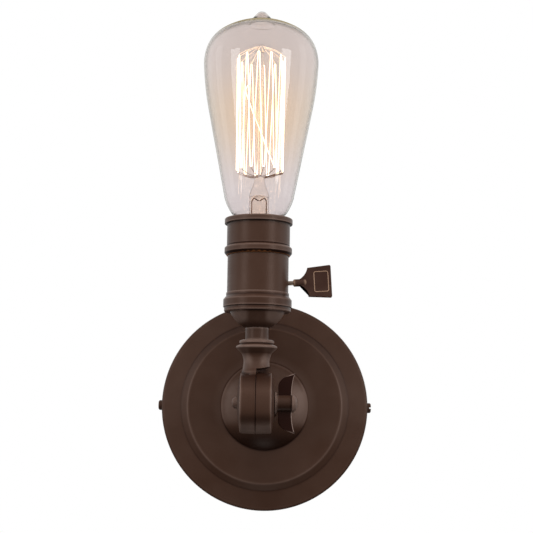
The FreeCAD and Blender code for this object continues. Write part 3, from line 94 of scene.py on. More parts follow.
@dataclass(frozen=True)
class Place:
    """Where a local drawing stands: its origin in mm, and its own x, y and z directions."""

    origin: Triple
    across: Triple
    aside: Triple
    along: Triple

    def axes(self) -> Array:
        """The three directions as rows."""
        return np.array([self.across, self.aside, self.along])

    def to_frame(self, points: Array) -> Array:
        """Local points in mm as points of the frame in metres."""
        return (np.asarray(self.origin) + points @ self.axes()) * MM

    def to_local(self, points: Array) -> Array:
        """Points of the frame in metres as local points in mm."""
        return (points / MM - np.asarray(self.origin)) @ self.axes().T

    def moved(self, x: float = 0.0, y: float = 0.0, z: float = 0.0) -> "Place":
        """The same place moved along the frame's axes, in mm."""
        return replace(self, origin=(self.origin[0] + x, self.origin[1] + y, self.origin[2] + z))


def joint_place(name: str) -> tuple[Array, Array]:
    """Reads a joint's point and axis.

    Args:
        name: the joint's name in the frame.
    Returns:
        its point in mm and its unit axis.
    """
    found = next(j for j in frame["joints"] if j["name"] == name)
    return np.array(found["pos_m"]) / MM, np.array(found["axis"], float)


PIVOT, _ = joint_place("head_tilt")
KEY_POINT, KEY_WAY = joint_place("key_turn")
OUTWARD = Place((0, 0, 0), (1, 0, 0), (0, 0, 1), (0, -1, 0))
HEAD = Place(tuple(PIVOT), (1, 0, 0), (0, 1, 0), (0, 0, 1))
ACROSS = Place(tuple(PIVOT), (0, 0, -1), (0, 1, 0), (1, 0, 0))
BACK_ACROSS = Place(tuple(PIVOT), (0, 0, 1), (0, 1, 0), (-1, 0, 0))
WINGS = Place(tuple(PIVOT), (1, 0, 0), (0, 0, 1), (0, -1, 0))
KEY_FACE = Place(tuple(KEY_POINT), tuple(KEY_WAY), (-KEY_WAY[2], 0, KEY_WAY[0]), (0, -1, 0))
KEY_AXIS = Place(tuple(KEY_POINT), (KEY_WAY[2], 0, -KEY_WAY[0]), (0, 1, 0), tuple(KEY_WAY))


@dataclass(frozen=True)
class Corner:
    """A corner of an outline: two distances in mm, its rounding, and whether the paint is worn through there."""

    a: float
    b: float
    rounding: float = 0.0
    worn: bool = False


@dataclass(frozen=True)
class Via:
    """A point that the side between two corners bows through, as an arc."""

    a: float
    b: float


Mark = Corner | Via
Marks = tuple[Mark, ...]


@dataclass(frozen=True)
class Outline:
    """A traced outline: its points, the arc length to each, how far it stands out, and where paint is gone."""

    points: Array
    arc: Array
    rub_and_shading: Array
    bare: Array
    closed: bool


def box(left: float, right: float, low: float, high: float, *roundings: float) -> list[Mark]:
    """Four corners, the two on the right with their own roundings, lower one first."""
    first, second = roundings or (0.0, 0.0)
    return [Corner(left, low), Corner(right, low, first), Corner(right, high, second), Corner(left, high)]


def raised(marks: Sequence[Mark], base: float) -> list[Mark]:
    """Marks moved up by a height, in mm."""
    return [replace(mark, b=base + mark.b) for mark in marks]


def unit(vectors: Array) -> Array:
    """Vectors made one long, a row for each, or a single one."""
    return vectors / np.linalg.norm(vectors, axis=-1, keepdims=True)


def sweep(start: Array, middle: Array, end: Array) -> Array:
    """Points of the circle's arc from start through middle to end.

    The centre is where the perpendicular bisectors of the two chords meet, and the angle runs evenly.

    Args:
        start, middle, end: three points of the plane, in mm.
    Returns:
        the points, both ends among them.
    """
    chords = np.array([middle - start, end - start])
    if abs(np.linalg.det(chords)) < NO_AREA:
        return np.array([start, middle, end])
    centre = start + np.linalg.solve(chords, (chords ** 2).sum(1) / 2)
    radius = np.linalg.norm(start - centre)
    angles = [math.atan2(*(p - centre)[::-1]) for p in (start, middle, end)]
    first, whole = [(angle - angles[0]) % TURN for angle in angles[1:]]
    if first > whole:
        whole -= TURN
    runs = max(math.ceil(abs(whole) * radius / ARC_RUN), math.ceil(abs(whole) / ARC_TURN), ARC_LEAST)
    turn = angles[0] + np.linspace(0, whole, int(min(runs, ARC_MOST)) + 1)
    return centre + radius * np.c_[np.cos(turn), np.sin(turn)]


def rounded_corner(before: Array, at: Array, after: Array, rounding: float) -> Array:
    """Points of the arc that touches both sides of a corner.

    The arc's centre lies on the corner's bisector, its radius away from both sides.

    Args:
        before, at, after: the corner and its two neighbours, in mm.
        rounding: the arc's radius, made smaller where a side is too short for it.
    Returns:
        the points from the first side to the second.
    """
    room = min(np.linalg.norm(before - at), np.linalg.norm(after - at))
    back, on = unit(before - at), unit(after - at)
    half = math.acos(float(np.clip(back @ on, -1, 1))) / 2
    if half > STRAIGHT_HALF or rounding <= 0:
        return at[None]
    reach = min(rounding / math.tan(half), room * ROUNDING_SHARE)
    radius = reach * math.tan(half)
    middle_way = unit(back + on)
    centre = at + middle_way * (radius / math.sin(half))
    return sweep(at + back * reach, centre - middle_way * radius, at + on * reach)


def side_points(start: Array, end: Array) -> Array:
    """Points between the ends of a straight side: some close to each end, so that its shading stays flat."""
    length = float(np.linalg.norm(end - start))
    near = np.array(NEAR_ENDS)
    near = near[near < length * NEAR_SHARE]
    even = np.arange(EVEN_FROM, length - EVEN_TO, EVEN_STEP)
    ways = np.concatenate([near, even, (length - near)[::-1]])
    return start + (end - start) * (ways / max(length, NO_AREA))[:, None]


def trace(marks: Sequence[Mark], edge: float = PLAIN_EDGE) -> Outline:
    """Traces an outline with rounded corners and arcs, open where it starts and ends on the axis, else closed.

    How far it stands out is the sum of the turns of the outline nearby, each faded as a bell, so an outer edge
    is near 1 and a groove near -1.

    Args:
        marks: corners and via points in order, with the solid on the left.
        edge: rounding of corners that state none, in mm.
    Returns:
        the traced outline.
    """
    closed = not marks[0].a == marks[-1].a == 0
    spots = [np.array([m.a, m.b], float) for m in marks]
    count = len(marks)
    arcs: dict[int, Array] = {}
    for i, mark in enumerate(marks):
        if isinstance(mark, Via):
            continue
        lone = not closed and i in (0, count - 1)
        after = (i + 1) % count
        if lone or isinstance(marks[i - 1], Via) or isinstance(marks[after], Via):
            arcs[i] = spots[i][None]
        else:
            arcs[i] = rounded_corner(spots[i - 1], spots[i], spots[after], mark.rounding or edge)
    runs = []
    for i, mark in enumerate(marks):
        after = (i + 1) % count
        if isinstance(mark, Via):
            runs.append(sweep(arcs[i - 1][-1], spots[i], arcs[after][0])[1:-1])
            continue
        runs.append(arcs[i])
        last = not closed and i == count - 1
        if not last and isinstance(marks[after], Corner):
            runs.append(side_points(arcs[i][-1], arcs[after][0]))
    points = np.concatenate(runs)
    keep = np.ones(len(points), bool)
    keep[1:] = np.linalg.norm(np.diff(points, axis=0), axis=1) > SAME_SPOT
    points = points[keep]
    legs = np.diff(np.vstack([points[-1:], points, points[:1]]), axis=0)
    turns = (np.diff(np.arctan2(legs[:, 1], legs[:, 0])) + math.pi) % TURN - math.pi
    if not closed:
        turns[[0, -1]] = 0
    arc = np.concatenate([[0], np.cumsum(np.linalg.norm(np.diff(points, axis=0), axis=1))])
    nearby = np.exp(-((arc[:, None] - arc[None]) / RUB_REACH) ** 2)
    rub_and_shading = np.clip((turns[None] * nearby).sum(1) / RUB_TURN, -1, 1)
    bare = np.zeros(len(points))
    for spot, mark in zip(spots, marks):
        if isinstance(mark, Corner) and mark.worn:
            bare = np.maximum(bare, np.exp(-(np.linalg.norm(points - spot, axis=1) / WORN_REACH) ** 2))
    return Outline(points, arc, rub_and_shading, bare, closed)


# Meshes

@contextmanager
def opened(mesh: Mesh, outwards: bool = True) -> Iterator[bmesh.types.BMesh]:
    """Opens a mesh for work and writes it back, with its faces turned outwards unless told not to."""
    work = bmesh.new()
    work.from_mesh(mesh)
    yield work
    if outwards:
        bmesh.ops.recalc_face_normals(work, faces=work.faces)
    work.to_mesh(mesh)
    work.free()


def welded(work: bmesh.types.BMesh, gap: float, sliver: float) -> None:
    """Joins vertices closer than the gap, and takes out edges shorter than the sliver, both in metres."""
    bmesh.ops.remove_doubles(work, verts=work.verts, dist=gap)
    bmesh.ops.dissolve_degenerate(work, edges=work.edges, dist=sliver)


def smooth(mesh: Mesh, angle: float = CREASE) -> None:
    """Shades a mesh smooth, apart from edges that turn by more than the angle in degrees."""
    mesh.shade_smooth()
    mesh.set_sharp_from_angle(angle=math.radians(angle))


def new_mesh(name: str, points: Array, faces: Array) -> Mesh:
    """Makes a mesh from points in metres, closes its poles and seams, and turns its faces outwards.

    Args:
        name: name of the mesh.
        points: one row a vertex.
        faces: one row a face, three or four vertex numbers.
    Returns:
        the mesh, shaded smooth with its sharp edges marked.
    """
    mesh = bpy.data.meshes.new(name)
    mesh.from_pydata(points, [], faces.tolist())
    with opened(mesh) as work:
        welded(work, WELD, SLIVER)
        bmesh.ops.delete(work, geom=[e for e in work.edges if not e.link_faces], context="EDGES")
        bmesh.ops.delete(work, geom=[v for v in work.verts if not v.link_faces], context="VERTS")
    smooth(mesh)
    return mesh


def grid_faces(rows: int, columns: int, rows_wrap: bool, columns_wrap: bool) -> Array:
    """Four-sided faces of a grid of points that are numbered row by row."""
    i = np.arange(rows if rows_wrap else rows - 1)[:, None]
    j = np.arange(columns if columns_wrap else columns - 1)[None]
    i_next, j_next = (i + 1) % rows, (j + 1) % columns
    quads = [i * columns + j, i * columns + j_next, i_next * columns + j_next, i_next * columns + j]
    return np.stack(quads, -1).reshape(-1, 4)


def circle(steps: int) -> Array:
    """Angles evenly round a circle."""
    return np.linspace(0, TURN, steps, endpoint=False)


def around(r: Array, h: Array, angle: Array) -> Array:
    """Points (r cos t, r sin t, h) for each height and each angle t."""
    return np.stack([r * np.cos(angle), r * np.sin(angle), h + 0 * angle], -1)


def lathe(name: str, outline: Outline, place: Place, steps: int = 160) -> Mesh:
    """Turns an outline about its place's own z axis.

    Args:
        name: name of the mesh.
        outline: radius and height of each point.
        place: where the axis stands.
        steps: number of angles.
    Returns:
        the closed mesh.
    """
    points = around(outline.points[:, :1], outline.points[:, 1:], circle(steps)).reshape(-1, 3)
    faces = grid_faces(len(outline.points), steps, outline.closed, True)
    return new_mesh(name, place.to_frame(points), faces)


def outward(points: Array) -> Array:
    """Unit normals of a closed outline, pointing out of it whichever way it runs."""
    ahead = unit(np.roll(points, -1, 0) - points)
    along = ahead + np.roll(ahead, 1, 0)
    area = np.sum(points[:, 0] * np.roll(points[:, 1], -1) - np.roll(points[:, 0], -1) * points[:, 1])
    return unit(np.c_[along[:, 1], -along[:, 0]] * math.copysign(1, area))


def slab(name: str, outline: Outline, place: Place, thickness: float, edge: float, base: float = 0.0) -> Mesh:
    """Plate with rounded edges: the outline at heights over its thickness, drawn in at both faces.

    Near a face the outline moves in along its own normals by edge (1 - sin t) at the height of the face less
    edge (1 - cos t), and triangles close each face.

    Args:
        name: name of the mesh.
        outline: closed outline in the plate's plane.
        place: the plate's plane is its x and y.
        thickness: in mm, centred on base.
        edge: rounding of the rim, in mm.
        base: height of the plate's middle.
    Returns:
        the closed mesh.
    """
    half, flat = thickness / 2, [edge + FACE_BAND]
    turn = np.linspace(0, math.pi / 2, EDGE_STEPS)
    inset = np.concatenate([edge * (1 - np.sin(turn)), [0.0]])
    rise = np.concatenate([half - edge * (1 - np.cos(turn)), [0.0]])
    insets = np.concatenate([flat, inset, inset[-2::-1], flat])
    rises = np.concatenate([[half], rise, -rise[-2::-1], [-half]]) + base
    rings = outline.points[None] - outward(outline.points)[None] * insets[:, None, None]
    rows, columns = rings.shape[:2]
    heights = np.broadcast_to(rises[:, None, None], (rows, columns, 1))
    grid = np.concatenate([rings, heights], -1).reshape(-1, 3)
    ends = [list(range(columns)), list(range((rows - 1) * columns, rows * columns))]
    mesh = bpy.data.meshes.new(name)
    mesh.from_pydata(place.to_frame(grid), [], grid_faces(rows, columns, False, True).tolist() + ends)
    with opened(mesh) as work:
        bmesh.ops.triangulate(work, faces=[f for f in work.faces if len(f.verts) > 4])
    smooth(mesh)
    return mesh


def tube(path: Array, radius: float, reference: Sequence[float] | Array, sides: int = 8) -> Solid:
    """Round wire along a path, closed at both ends.

    Around each point of the path the wire is point + radius (cos t n + sin t b), where n is square to the
    path and to the reference, and b is square to both. At the ends the radius falls to nothing.

    Args:
        path: points in mm.
        radius: of the wire, in mm.
        reference: a direction for each point, or one for all, not along the path.
        sides: number of sides.
    Returns:
        its points and faces, to be joined to others.
    """
    way = unit(np.gradient(path, axis=0))
    normal = unit(np.cross(way, np.broadcast_to(reference, path.shape)))
    other = np.cross(way, normal)
    cap = radius * WIRE_CAP
    line = np.vstack([path[0] - way[0] * radius, path[0] - way[0] * cap, path,
                      path[-1] + way[-1] * cap, path[-1] + way[-1] * radius])
    grow = np.concatenate([[0.0, cap], np.full(len(path), radius), [cap, 0.0]])
    normal, other = [np.pad(rows, ((2, 2), (0, 0)), mode="edge") for rows in (normal, other)]
    angle = circle(sides)[None, :, None]
    rings = np.cos(angle) * normal[:, None] + np.sin(angle) * other[:, None]
    points = line[:, None] + rings * grow[:, None, None]
    return points.reshape(-1, 3), grid_faces(len(line), sides, False, True)


def joined(name: str, parts: Sequence[Solid], place: Place) -> Mesh:
    """One mesh from several sets of local points and faces."""
    starts = np.cumsum([0] + [len(points) for points, _ in parts])
    points = np.vstack([points for points, _ in parts])
    faces = np.vstack([faces + start for (_, faces), start in zip(parts, starts)])
    return new_mesh(name, place.to_frame(points), faces)


def rounded_path(points: Sequence[Any] | Array, reach: float, steps: int = 7) -> Array:
    """A run of straight pieces with each inner corner bowed.

    At a corner the path is the curve (1-t)^2 p + 2t(1-t) v + t^2 q, from p to q, which stand the reach
    before and after the corner v.

    Args:
        points: the corners, in mm.
        reach: how far from a corner its bow starts.
        steps: points in a bow.
    Returns:
        the path's points.
    """
    points = np.asarray(points, float)
    at = points[1:-1]
    start, end = [at + unit(near - at) * reach for near in (points[:-2], points[2:])]
    t = np.linspace(0, 1, steps)[None, :, None]
    bows = (1 - t) ** 2 * start[:, None] + 2 * t * (1 - t) * at[:, None] + t ** 2 * end[:, None]
    return np.vstack([points[:1], bows.reshape(-1, 3), points[-1:]])


def linked(name: str, data: Any) -> bpy.types.Object:
    """A new object that stands in the scene."""
    thing = bpy.data.objects.new(name, data)
    bpy.context.scene.collection.objects.link(thing)
    return thing


class Cut(Enum):
    """How a second shape works on the first."""

    AWAY = "DIFFERENCE"
    ON = "UNION"


def carved(mesh: Mesh, *works: tuple[Mesh, Cut]) -> Mesh:
    """Joins shapes to a mesh, or cuts them out of it, one after another.

    Args:
        mesh: the first shape.
        works: each other shape, and how it works on the first.
    Returns:
        a new mesh.
    """
    things = [linked("work", mesh)]
    for other, cut in works:
        things.append(linked("tool", other))
        change = things[0].modifiers.new("cut", "BOOLEAN")
        change.operation, change.solver, change.object = cut.value, "EXACT", things[-1]
    bpy.context.view_layer.update()
    made = bpy.data.meshes.new_from_object(things[0].evaluated_get(bpy.context.evaluated_depsgraph_get()))
    for thing in things:
        bpy.data.objects.remove(thing)
    with opened(made) as work:
        welded(work, CUT_WELD, CUT_SLIVER)
    smooth(made)
    return made


# Marks that the paint follows, painted light and shade among them

@dataclass(frozen=True)
class Fade:
    """A straight rise from 0 at the low value to the amount at the high one, and level beyond both."""

    low: float
    high: float
    amount: float = 1.0

    def __call__(self, value: Array) -> Array:
        """The rise at each value."""
        return self.amount * np.clip((value - self.low) / (self.high - self.low), 0, 1)


@dataclass(frozen=True)
class Bell:
    """A soft spot: amount exp(-((value - centre) / width) ^ power)."""

    centre: float
    width: float
    amount: float = 1.0
    power: int = 2

    def __call__(self, value: Array) -> Array:
        """The spot's strength at each value."""
        return self.amount * np.exp(-((value - self.centre) / self.width) ** self.power)


def vertex_points(mesh: Mesh, place: Place) -> Array:
    """The mesh's vertices as local points in mm, a row for each."""
    points = np.empty(len(mesh.vertices) * 3)
    mesh.vertices.foreach_get("co", points)
    return place.to_local(points.reshape(-1, 3))


def write_marks(mesh: Mesh, rub_and_shading: Array, bare: Array, grain: Array) -> None:
    """Stores the three marks as attributes of the mesh's vertices."""
    for name, kind, key, values in (("rub_and_shading", "FLOAT", "value", rub_and_shading), ("bare", "FLOAT", "value", bare),
                                    ("grain", "FLOAT_VECTOR", "vector", grain)):
        store = mesh.attributes.new(name, kind, "POINT")
        store.data.foreach_set(key, np.ascontiguousarray(values, dtype=np.float32).ravel())


def mark_surface(mesh: Mesh, *turned: tuple[Place, Outline]) -> None:
    """Writes what the paint follows on a surface, from the nearest point of the outlines it was turned from.

    The grain is (local x, local y, arc length), all in mm, so a pattern that is stretched along x and y runs
    round the piece as a lathe leaves it.

    Args:
        mesh: the finished mesh.
        turned: each place and outline that the mesh has surface from.
    """
    count = len(mesh.vertices)
    best = np.full(count, np.inf)
    rub_and_shading, bare, grain = np.zeros(count), np.zeros(count), np.zeros((count, 3))
    for place, outline in turned:
        local = vertex_points(mesh, place)
        flat = np.c_[np.hypot(local[:, 0], local[:, 1]), local[:, 2]]
        apart = np.linalg.norm(flat[:, None] - outline.points[None], axis=2)
        nearest = apart.argmin(1)
        distance = apart[np.arange(count), nearest]
        closer = distance < best
        best[closer] = distance[closer]
        rub_and_shading[closer] = outline.rub_and_shading[nearest][closer]
        bare[closer] = outline.bare[nearest][closer]
        grain[closer] = np.c_[local[:, :2], outline.arc[nearest]][closer]
    write_marks(mesh, rub_and_shading, bare, grain)


def mark_slab(mesh: Mesh, place: Place, thickness: float, face_tone: float, rubbed: Fade) -> None:
    """Marks a plate: its rounded rim is as pale as the fade along local x says, and its faces take one value.

    Args:
        mesh: the plate's mesh.
        place: its place.
        thickness: in mm.
        face_tone: how far the faces stand out, from -1 to 1.
        rubbed: how pale the rim is along local x; on the wings this paints a highlight.
    """
    local = vertex_points(mesh, place)
    on_rim = thickness / 2 - np.abs(local[:, 2]) > FACE_GAP
    rim = rubbed(local[:, 0])
    rub_and_shading = np.where(on_rim, rim + (1 - rim) * face_tone, face_tone)
    write_marks(mesh, rub_and_shading, np.zeros(len(local)), local[:, [0, 2, 1]])


def shifted_mark(mesh: Mesh, place: Place, shift: Callable[[Array], Array], mark: str = "rub_and_shading") -> None:
    """Shifts one of a mesh's marks for rubbing and oil, and for light and shade painted into it.

    Args:
        mesh: the marked mesh.
        place: the place that the shift is stated in.
        shift: takes local points in mm, a row for each vertex, and gives what is added to the mark.
        mark: the mark's name.
    """
    values = np.empty(len(mesh.vertices))
    store = mesh.attributes[mark].data
    store.foreach_get("value", values)
    values = np.clip(values + shift(vertex_points(mesh, place)), -1, 1)
    store.foreach_set("value", values.astype(np.float32))


# Finishes

def linear(colour: str) -> tuple[float, float, float, float]:
    """An sRGB hex colour such as "6b4a2f" as linear red, green, blue and 1."""
    parts = [int(colour[i:i + 2], 16) / 255 for i in (0, 2, 4)]
    red, green, blue = [c / 12.92 if c <= 0.04045 else ((c + 0.055) / 1.055) ** 2.4 for c in parts]
    return red, green, blue, 1.0


def add(tree: Tree, kind: str, inputs: dict[Any, Any] | None = None, **settings: Any) -> bpy.types.Node:
    """Adds a node.

    Args:
        tree: the node tree.
        kind: the node's type name.
        inputs: what each input socket gets, by name or number: a value, or another node's output socket.
        settings: the node's own settings.
    Returns:
        the node.
    """
    node = tree.nodes.new(kind)
    for name, value in settings.items():
        setattr(node, name, value)
    for key, value in (inputs or {}).items():
        if isinstance(value, Wire):
            tree.links.new(value, node.inputs[key])
        else:
            node.inputs[key].default_value = value
    return node


def spread(tree: Tree, value: Wire, out_of: Range, onto: tuple[Any, Any] = (0.0, 1.0), smooth: bool = False) -> Wire:
    """Maps one range of a value onto another, held at both ends, in a straight line or smoothly."""
    kind = "SMOOTHSTEP" if smooth else "LINEAR"
    sockets = {"Value": value, 1: out_of[0], 2: out_of[1], 3: onto[0], 4: onto[1]}
    return add(tree, "ShaderNodeMapRange", sockets, interpolation_type=kind).outputs[0]


def blend(tree: Tree, share: Wire, first: Wire | str, second: Wire | str) -> Wire:
    """Mixes two colours, hex or wired: only the first where the share is 0, only the second where it is 1."""
    first, second = [linear(c) if isinstance(c, str) else c for c in (first, second)]
    return add(tree, "ShaderNodeMix", {0: share, 6: first, 7: second}, data_type="RGBA").outputs[2]


def noise(tree: Tree, where: Wire, size_mm: float, detail: float = 2.0) -> Wire:
    """Random patches of about the size."""
    sockets = {"Vector": where, "Scale": 1 / size_mm, "Detail": detail}
    return add(tree, "ShaderNodeTexNoise", sockets).outputs["Fac"]


def stretched(tree: Tree, where: Wire, scale: Triple) -> Wire:
    """Coordinates scaled by their own factor each way."""
    return add(tree, "ShaderNodeVectorMath", {0: where, 1: scale}, operation="MULTIPLY").outputs[0]


def worked(tree: Tree, operation: str, *values: Wire | float, clamp: bool = False) -> Wire:
    """A sum on values."""
    return add(tree, "ShaderNodeMath", dict(enumerate(values)), operation=operation, use_clamp=clamp).outputs[0]


def relief(tree: Tree, height: Wire, strength: float, depth_mm: float) -> Wire:
    """Normals of a surface that a height lifts by up to the depth."""
    sockets = {"Height": height, "Strength": strength, "Distance": depth_mm * MM}
    return add(tree, "ShaderNodeBump", sockets).outputs[0]


def skin(tree: Tree, **inputs: Any) -> Wire:
    """A principled surface. In a socket's name an underscore stands for a space."""
    sockets = {name.replace("_", " "): value for name, value in inputs.items()}
    return add(tree, "ShaderNodeBsdfPrincipled", sockets).outputs[0]


def blank_material(name: str) -> tuple[bpy.types.Material, Tree]:
    """A material with no nodes yet, and its tree."""
    material = bpy.data.materials.new(name)
    material.use_nodes = True
    material.node_tree.nodes.clear()
    return material, material.node_tree


def shown(tree: Tree, surface: Wire) -> None:
    """Puts a surface out."""
    add(tree, "ShaderNodeOutputMaterial", {"Surface": surface})


def object_mm(tree: Tree) -> Wire:
    """The object's own coordinates in millimetres."""
    own = add(tree, "ShaderNodeTexCoord").outputs["Object"]
    return add(tree, "ShaderNodeVectorMath", {0: own, "Scale": 1 / MM}, operation="SCALE").outputs["Vector"]


@dataclass(frozen=True)
class OilRubbedBronze:
    """Dark bronze lacquer sprayed on metal and rubbed with oil: satin, paler on the edges, near black in grooves.

    The sprayed coat shows a fine orange peel and faint rings from the lathe below it. Where a sleeve has rubbed
    the coat through, the metal shows through as bright copper.
    """

    name: str = "oil_rubbed_bronze_lacquer"
    # Groove tone: real grooves and joints, and also painted shade
    groove: str = "1a0b06"
    body: str = "38251c"
    # Edge tone: rubbed edges, and also painted highlights
    edge: str = "5c4a42"
    copper: str = "b4713f"
    sheen: str = "f5ddd1"
    shine: float = 0.24
    roughness: float = 0.35
    rough_spread: Range = (-0.05, 0.06)
    peel_mm: float = 1.1
    ring_mm: float = 0.5
    ring_stretch: Triple = (0.02, 0.02, 1.0)
    ring_height: float = 0.35
    relief_mm: float = 0.25
    relief_strength: float = 0.12
    cloud_mm: float = 17.0
    cloud_share: float = 0.12
    wander: Range = (0.9, 0.55)
    recess_mm: float = 3.5
    recess_open: Range = (0.6, 0.15)
    worn_through: Range = (0.35, 0.8)
    slot: str = "bronze_paint"

    @lru_cache
    def material(self) -> bpy.types.Material:
        """Builds the lacquer."""
        material, tree = blank_material(self.name)
        here = object_mm(tree)
        rub_and_shading, bare = [add(tree, "ShaderNodeAttribute", attribute_name=n).outputs["Fac"] for n in ("rub_and_shading", "bare")]
        grain = add(tree, "ShaderNodeAttribute", attribute_name="grain").outputs["Vector"]
        cloud, peel = noise(tree, here, self.cloud_mm, 3.0), noise(tree, here, self.peel_mm)
        rings = noise(tree, stretched(tree, grain, self.ring_stretch), self.ring_mm)
        # The rubbing, with the highlights painted into the same mark, wanders a little, so that an edge is not evenly
        # pale
        pale = worked(tree, "MULTIPLY", rub_and_shading, worked(tree, "MULTIPLY_ADD", cloud, *self.wander), clamp=True)
        # Oil stays dark in grooves; painted shade: ambient occlusion darkens the corners between pieces and other
        # recesses, where shade falls
        occlusion = add(tree, "ShaderNodeAmbientOcclusion", {"Distance": self.recess_mm * MM}, samples=12).outputs["AO"]
        unrubbed = worked(tree, "SUBTRACT", 1.0, pale)
        corner = worked(tree, "MULTIPLY", spread(tree, occlusion, self.recess_open), unrubbed)
        deep = worked(tree, "MAXIMUM", worked(tree, "MULTIPLY", rub_and_shading, -1.0, clamp=True), corner)
        # The sprayed coat clouds softly towards the rubbed tone, so that broad faces are not one flat brown
        coat = blend(tree, spread(tree, cloud, (0.3, 0.7), (0.0, self.cloud_share)), self.body, self.edge)
        # Painted light and shade: the edge tone also paints highlights, and the groove tone also paints shade
        painted = blend(tree, deep, blend(tree, pale, coat, self.edge), self.groove)
        # Bright copper shows where the coat is rubbed through
        through = spread(tree, bare, self.worn_through)
        low, high = self.rough_spread
        # Rings and peel break the long reflections up, as on a sprayed and turned part
        rough = spread(tree, rings, (0.25, 0.75), (self.roughness + low, self.roughness + high))
        height = worked(tree, "MULTIPLY_ADD", rings, self.ring_height, peel)
        shown(tree, skin(
            tree, Base_Color=blend(tree, through, painted, self.copper), Roughness=rough, Metallic=through,
            Normal=relief(tree, height, self.relief_strength, self.relief_mm), Specular_IOR_Level=self.shine,
            Specular_Tint=linear(self.sheen)))
        return material


@dataclass(frozen=True)
class Metal:
    """Bare or plated metal, drawn or turned: fine lines one way, and dull spots of handling and tarnish."""

    name: str
    slot: str
    colour: str
    tarnish: str
    roughness: float = 0.3
    rough_spread: Range = (-0.06, 0.1)
    line_mm: float = 0.35
    line_stretch: Triple = (0.08, 0.08, 1.0)
    relief_mm: float = 0.05
    tarnish_mm: float = 4.0
    tarnish_share: float = 0.35
    glow: float = 0.0

    @lru_cache
    def material(self) -> bpy.types.Material:
        """Builds the metal."""
        material, tree = blank_material(self.name)
        here = object_mm(tree)
        lines = noise(tree, stretched(tree, here, self.line_stretch), self.line_mm)
        # Tarnish gathers in spots, so that the metal looks handled
        spots = spread(tree, noise(tree, here, self.tarnish_mm, 5.0), (0.4, 0.7), (0.0, self.tarnish_share))
        colour = blend(tree, spots, self.colour, self.tarnish)
        low, high = self.rough_spread
        # The drawing's lines make the gloss run in streaks
        rough = spread(tree, lines, (0.3, 0.7), (self.roughness + low, self.roughness + high))
        # Painted light: the wire that holds the lit strand glows a little, standing in for the strand's light on it
        shown(tree, skin(
            tree, Base_Color=colour, Roughness=rough, Metallic=1.0, Normal=relief(tree, lines, 0.1, self.relief_mm),
            Emission_Color=colour, Emission_Strength=self.glow))
        return material


@dataclass(frozen=True)
class Moulded:
    """Moulded, pressed or enamelled stuff: a base tone with a fine speck or flow of another through it."""

    name: str
    slot: str
    colour: str
    speck: str
    roughness: float
    speck_mm: float
    speck_share: float = 0.4
    relief_mm: float = 0.1
    coat: float = 0.0

    @lru_cache
    def material(self) -> bpy.types.Material:
        """Builds the stuff."""
        material, tree = blank_material(self.name)
        # The filler shows as specks, and stands a little proud of the skin
        specks = noise(tree, object_mm(tree), self.speck_mm, 4.0)
        share = spread(tree, specks, (0.45, 0.65), (0.0, self.speck_share))
        shown(tree, skin(
            tree, Base_Color=blend(tree, share, self.colour, self.speck), Roughness=self.roughness,
            Coat_Weight=self.coat, Normal=relief(tree, specks, 0.12, self.relief_mm)))
        return material


@dataclass(frozen=True)
class LampGlass:
    """Blown soda-lime glass with a faint smoky tint, deeper where the wall is seen along its length.

    The lit strand and its haze tint the middle of the bulb warm, and blowing leaves the wall very slightly wavy.
    """

    name: str = "blown_clear_glass"
    slot: str = "clear_glass"
    top: str = "e6dedb"
    middle: str = "e9dfd5"
    warm: str = "fce6d2"
    foot: str = "eae4e4"
    tip: str = "dcd2cd"
    rim: str = "6c664f"
    crown_rim: str = "6e5d2a"
    to_top: Range = (160.0, 195.0)
    to_foot: Range = (160.0, 115.0)
    to_tip: Range = (214.8, 216.3)
    to_crown: Range = (203.0, 208.0)
    to_side: Range = (0.03, 0.2)
    to_rim: Range = (0.6, 0.95)
    hidden_from: Range = (0.66, 0.9)
    clear_tip: Range = (213.9, 214.5)
    side_depth: float = 0.2
    crown_depth: float = 0.75
    wave_mm: float = 16.0
    relief_mm: float = 0.4
    ior: float = 1.5

    @lru_cache
    def material(self) -> bpy.types.Material:
        """Builds the glass."""
        material, tree = blank_material(self.name)
        here = object_mm(tree)
        height = add(tree, "ShaderNodeSeparateXYZ", {"Vector": here}).outputs["Z"]
        facing = add(tree, "ShaderNodeLayerWeight", {"Blend": 0.5}).outputs["Facing"]
        # Warm in the middle from the strand's light, greyer up the shoulder and down the taper
        middle = blend(tree, spread(tree, facing, self.to_side), self.warm, self.middle)
        upper = blend(tree, spread(tree, height, self.to_top, smooth=True), middle, self.top)
        whole = blend(tree, spread(tree, height, self.to_foot, smooth=True), upper, self.foot)
        # The wall is thicker at the drawn tip, so it looks deeper there
        tipped = blend(tree, spread(tree, height, self.to_tip), whole, self.tip)
        # Over the crown the wall is seen along its length through its whole bow, which looks olive
        rim = blend(tree, spread(tree, height, self.to_crown), self.rim, self.crown_rim)
        colour = blend(tree, spread(tree, facing, self.to_rim, smooth=True), tipped, rim)
        wave = noise(tree, here, self.wave_mm, 1.0)
        clear = skin(tree, Base_Color=colour, Roughness=0.0, IOR=self.ior, Transmission_Weight=1.0,
                     Normal=relief(tree, wave, 0.25, self.relief_mm))
        # Seen edge on, the depth of glass hides what is behind it, but not at the tip
        deep = skin(tree, Base_Color=rim, Roughness=0.8, Specular_IOR_Level=0.0)
        along = spread(tree, facing, self.hidden_from, smooth=True)
        amount = spread(tree, height, self.to_crown, (self.side_depth, self.crown_depth))
        hides = worked(tree, "MULTIPLY", spread(tree, height, self.clear_tip, (along, 0.0)), amount)
        shown(tree, add(tree, "ShaderNodeMixShader", {0: hides, 1: clear, 2: deep}).outputs[0])
        return material


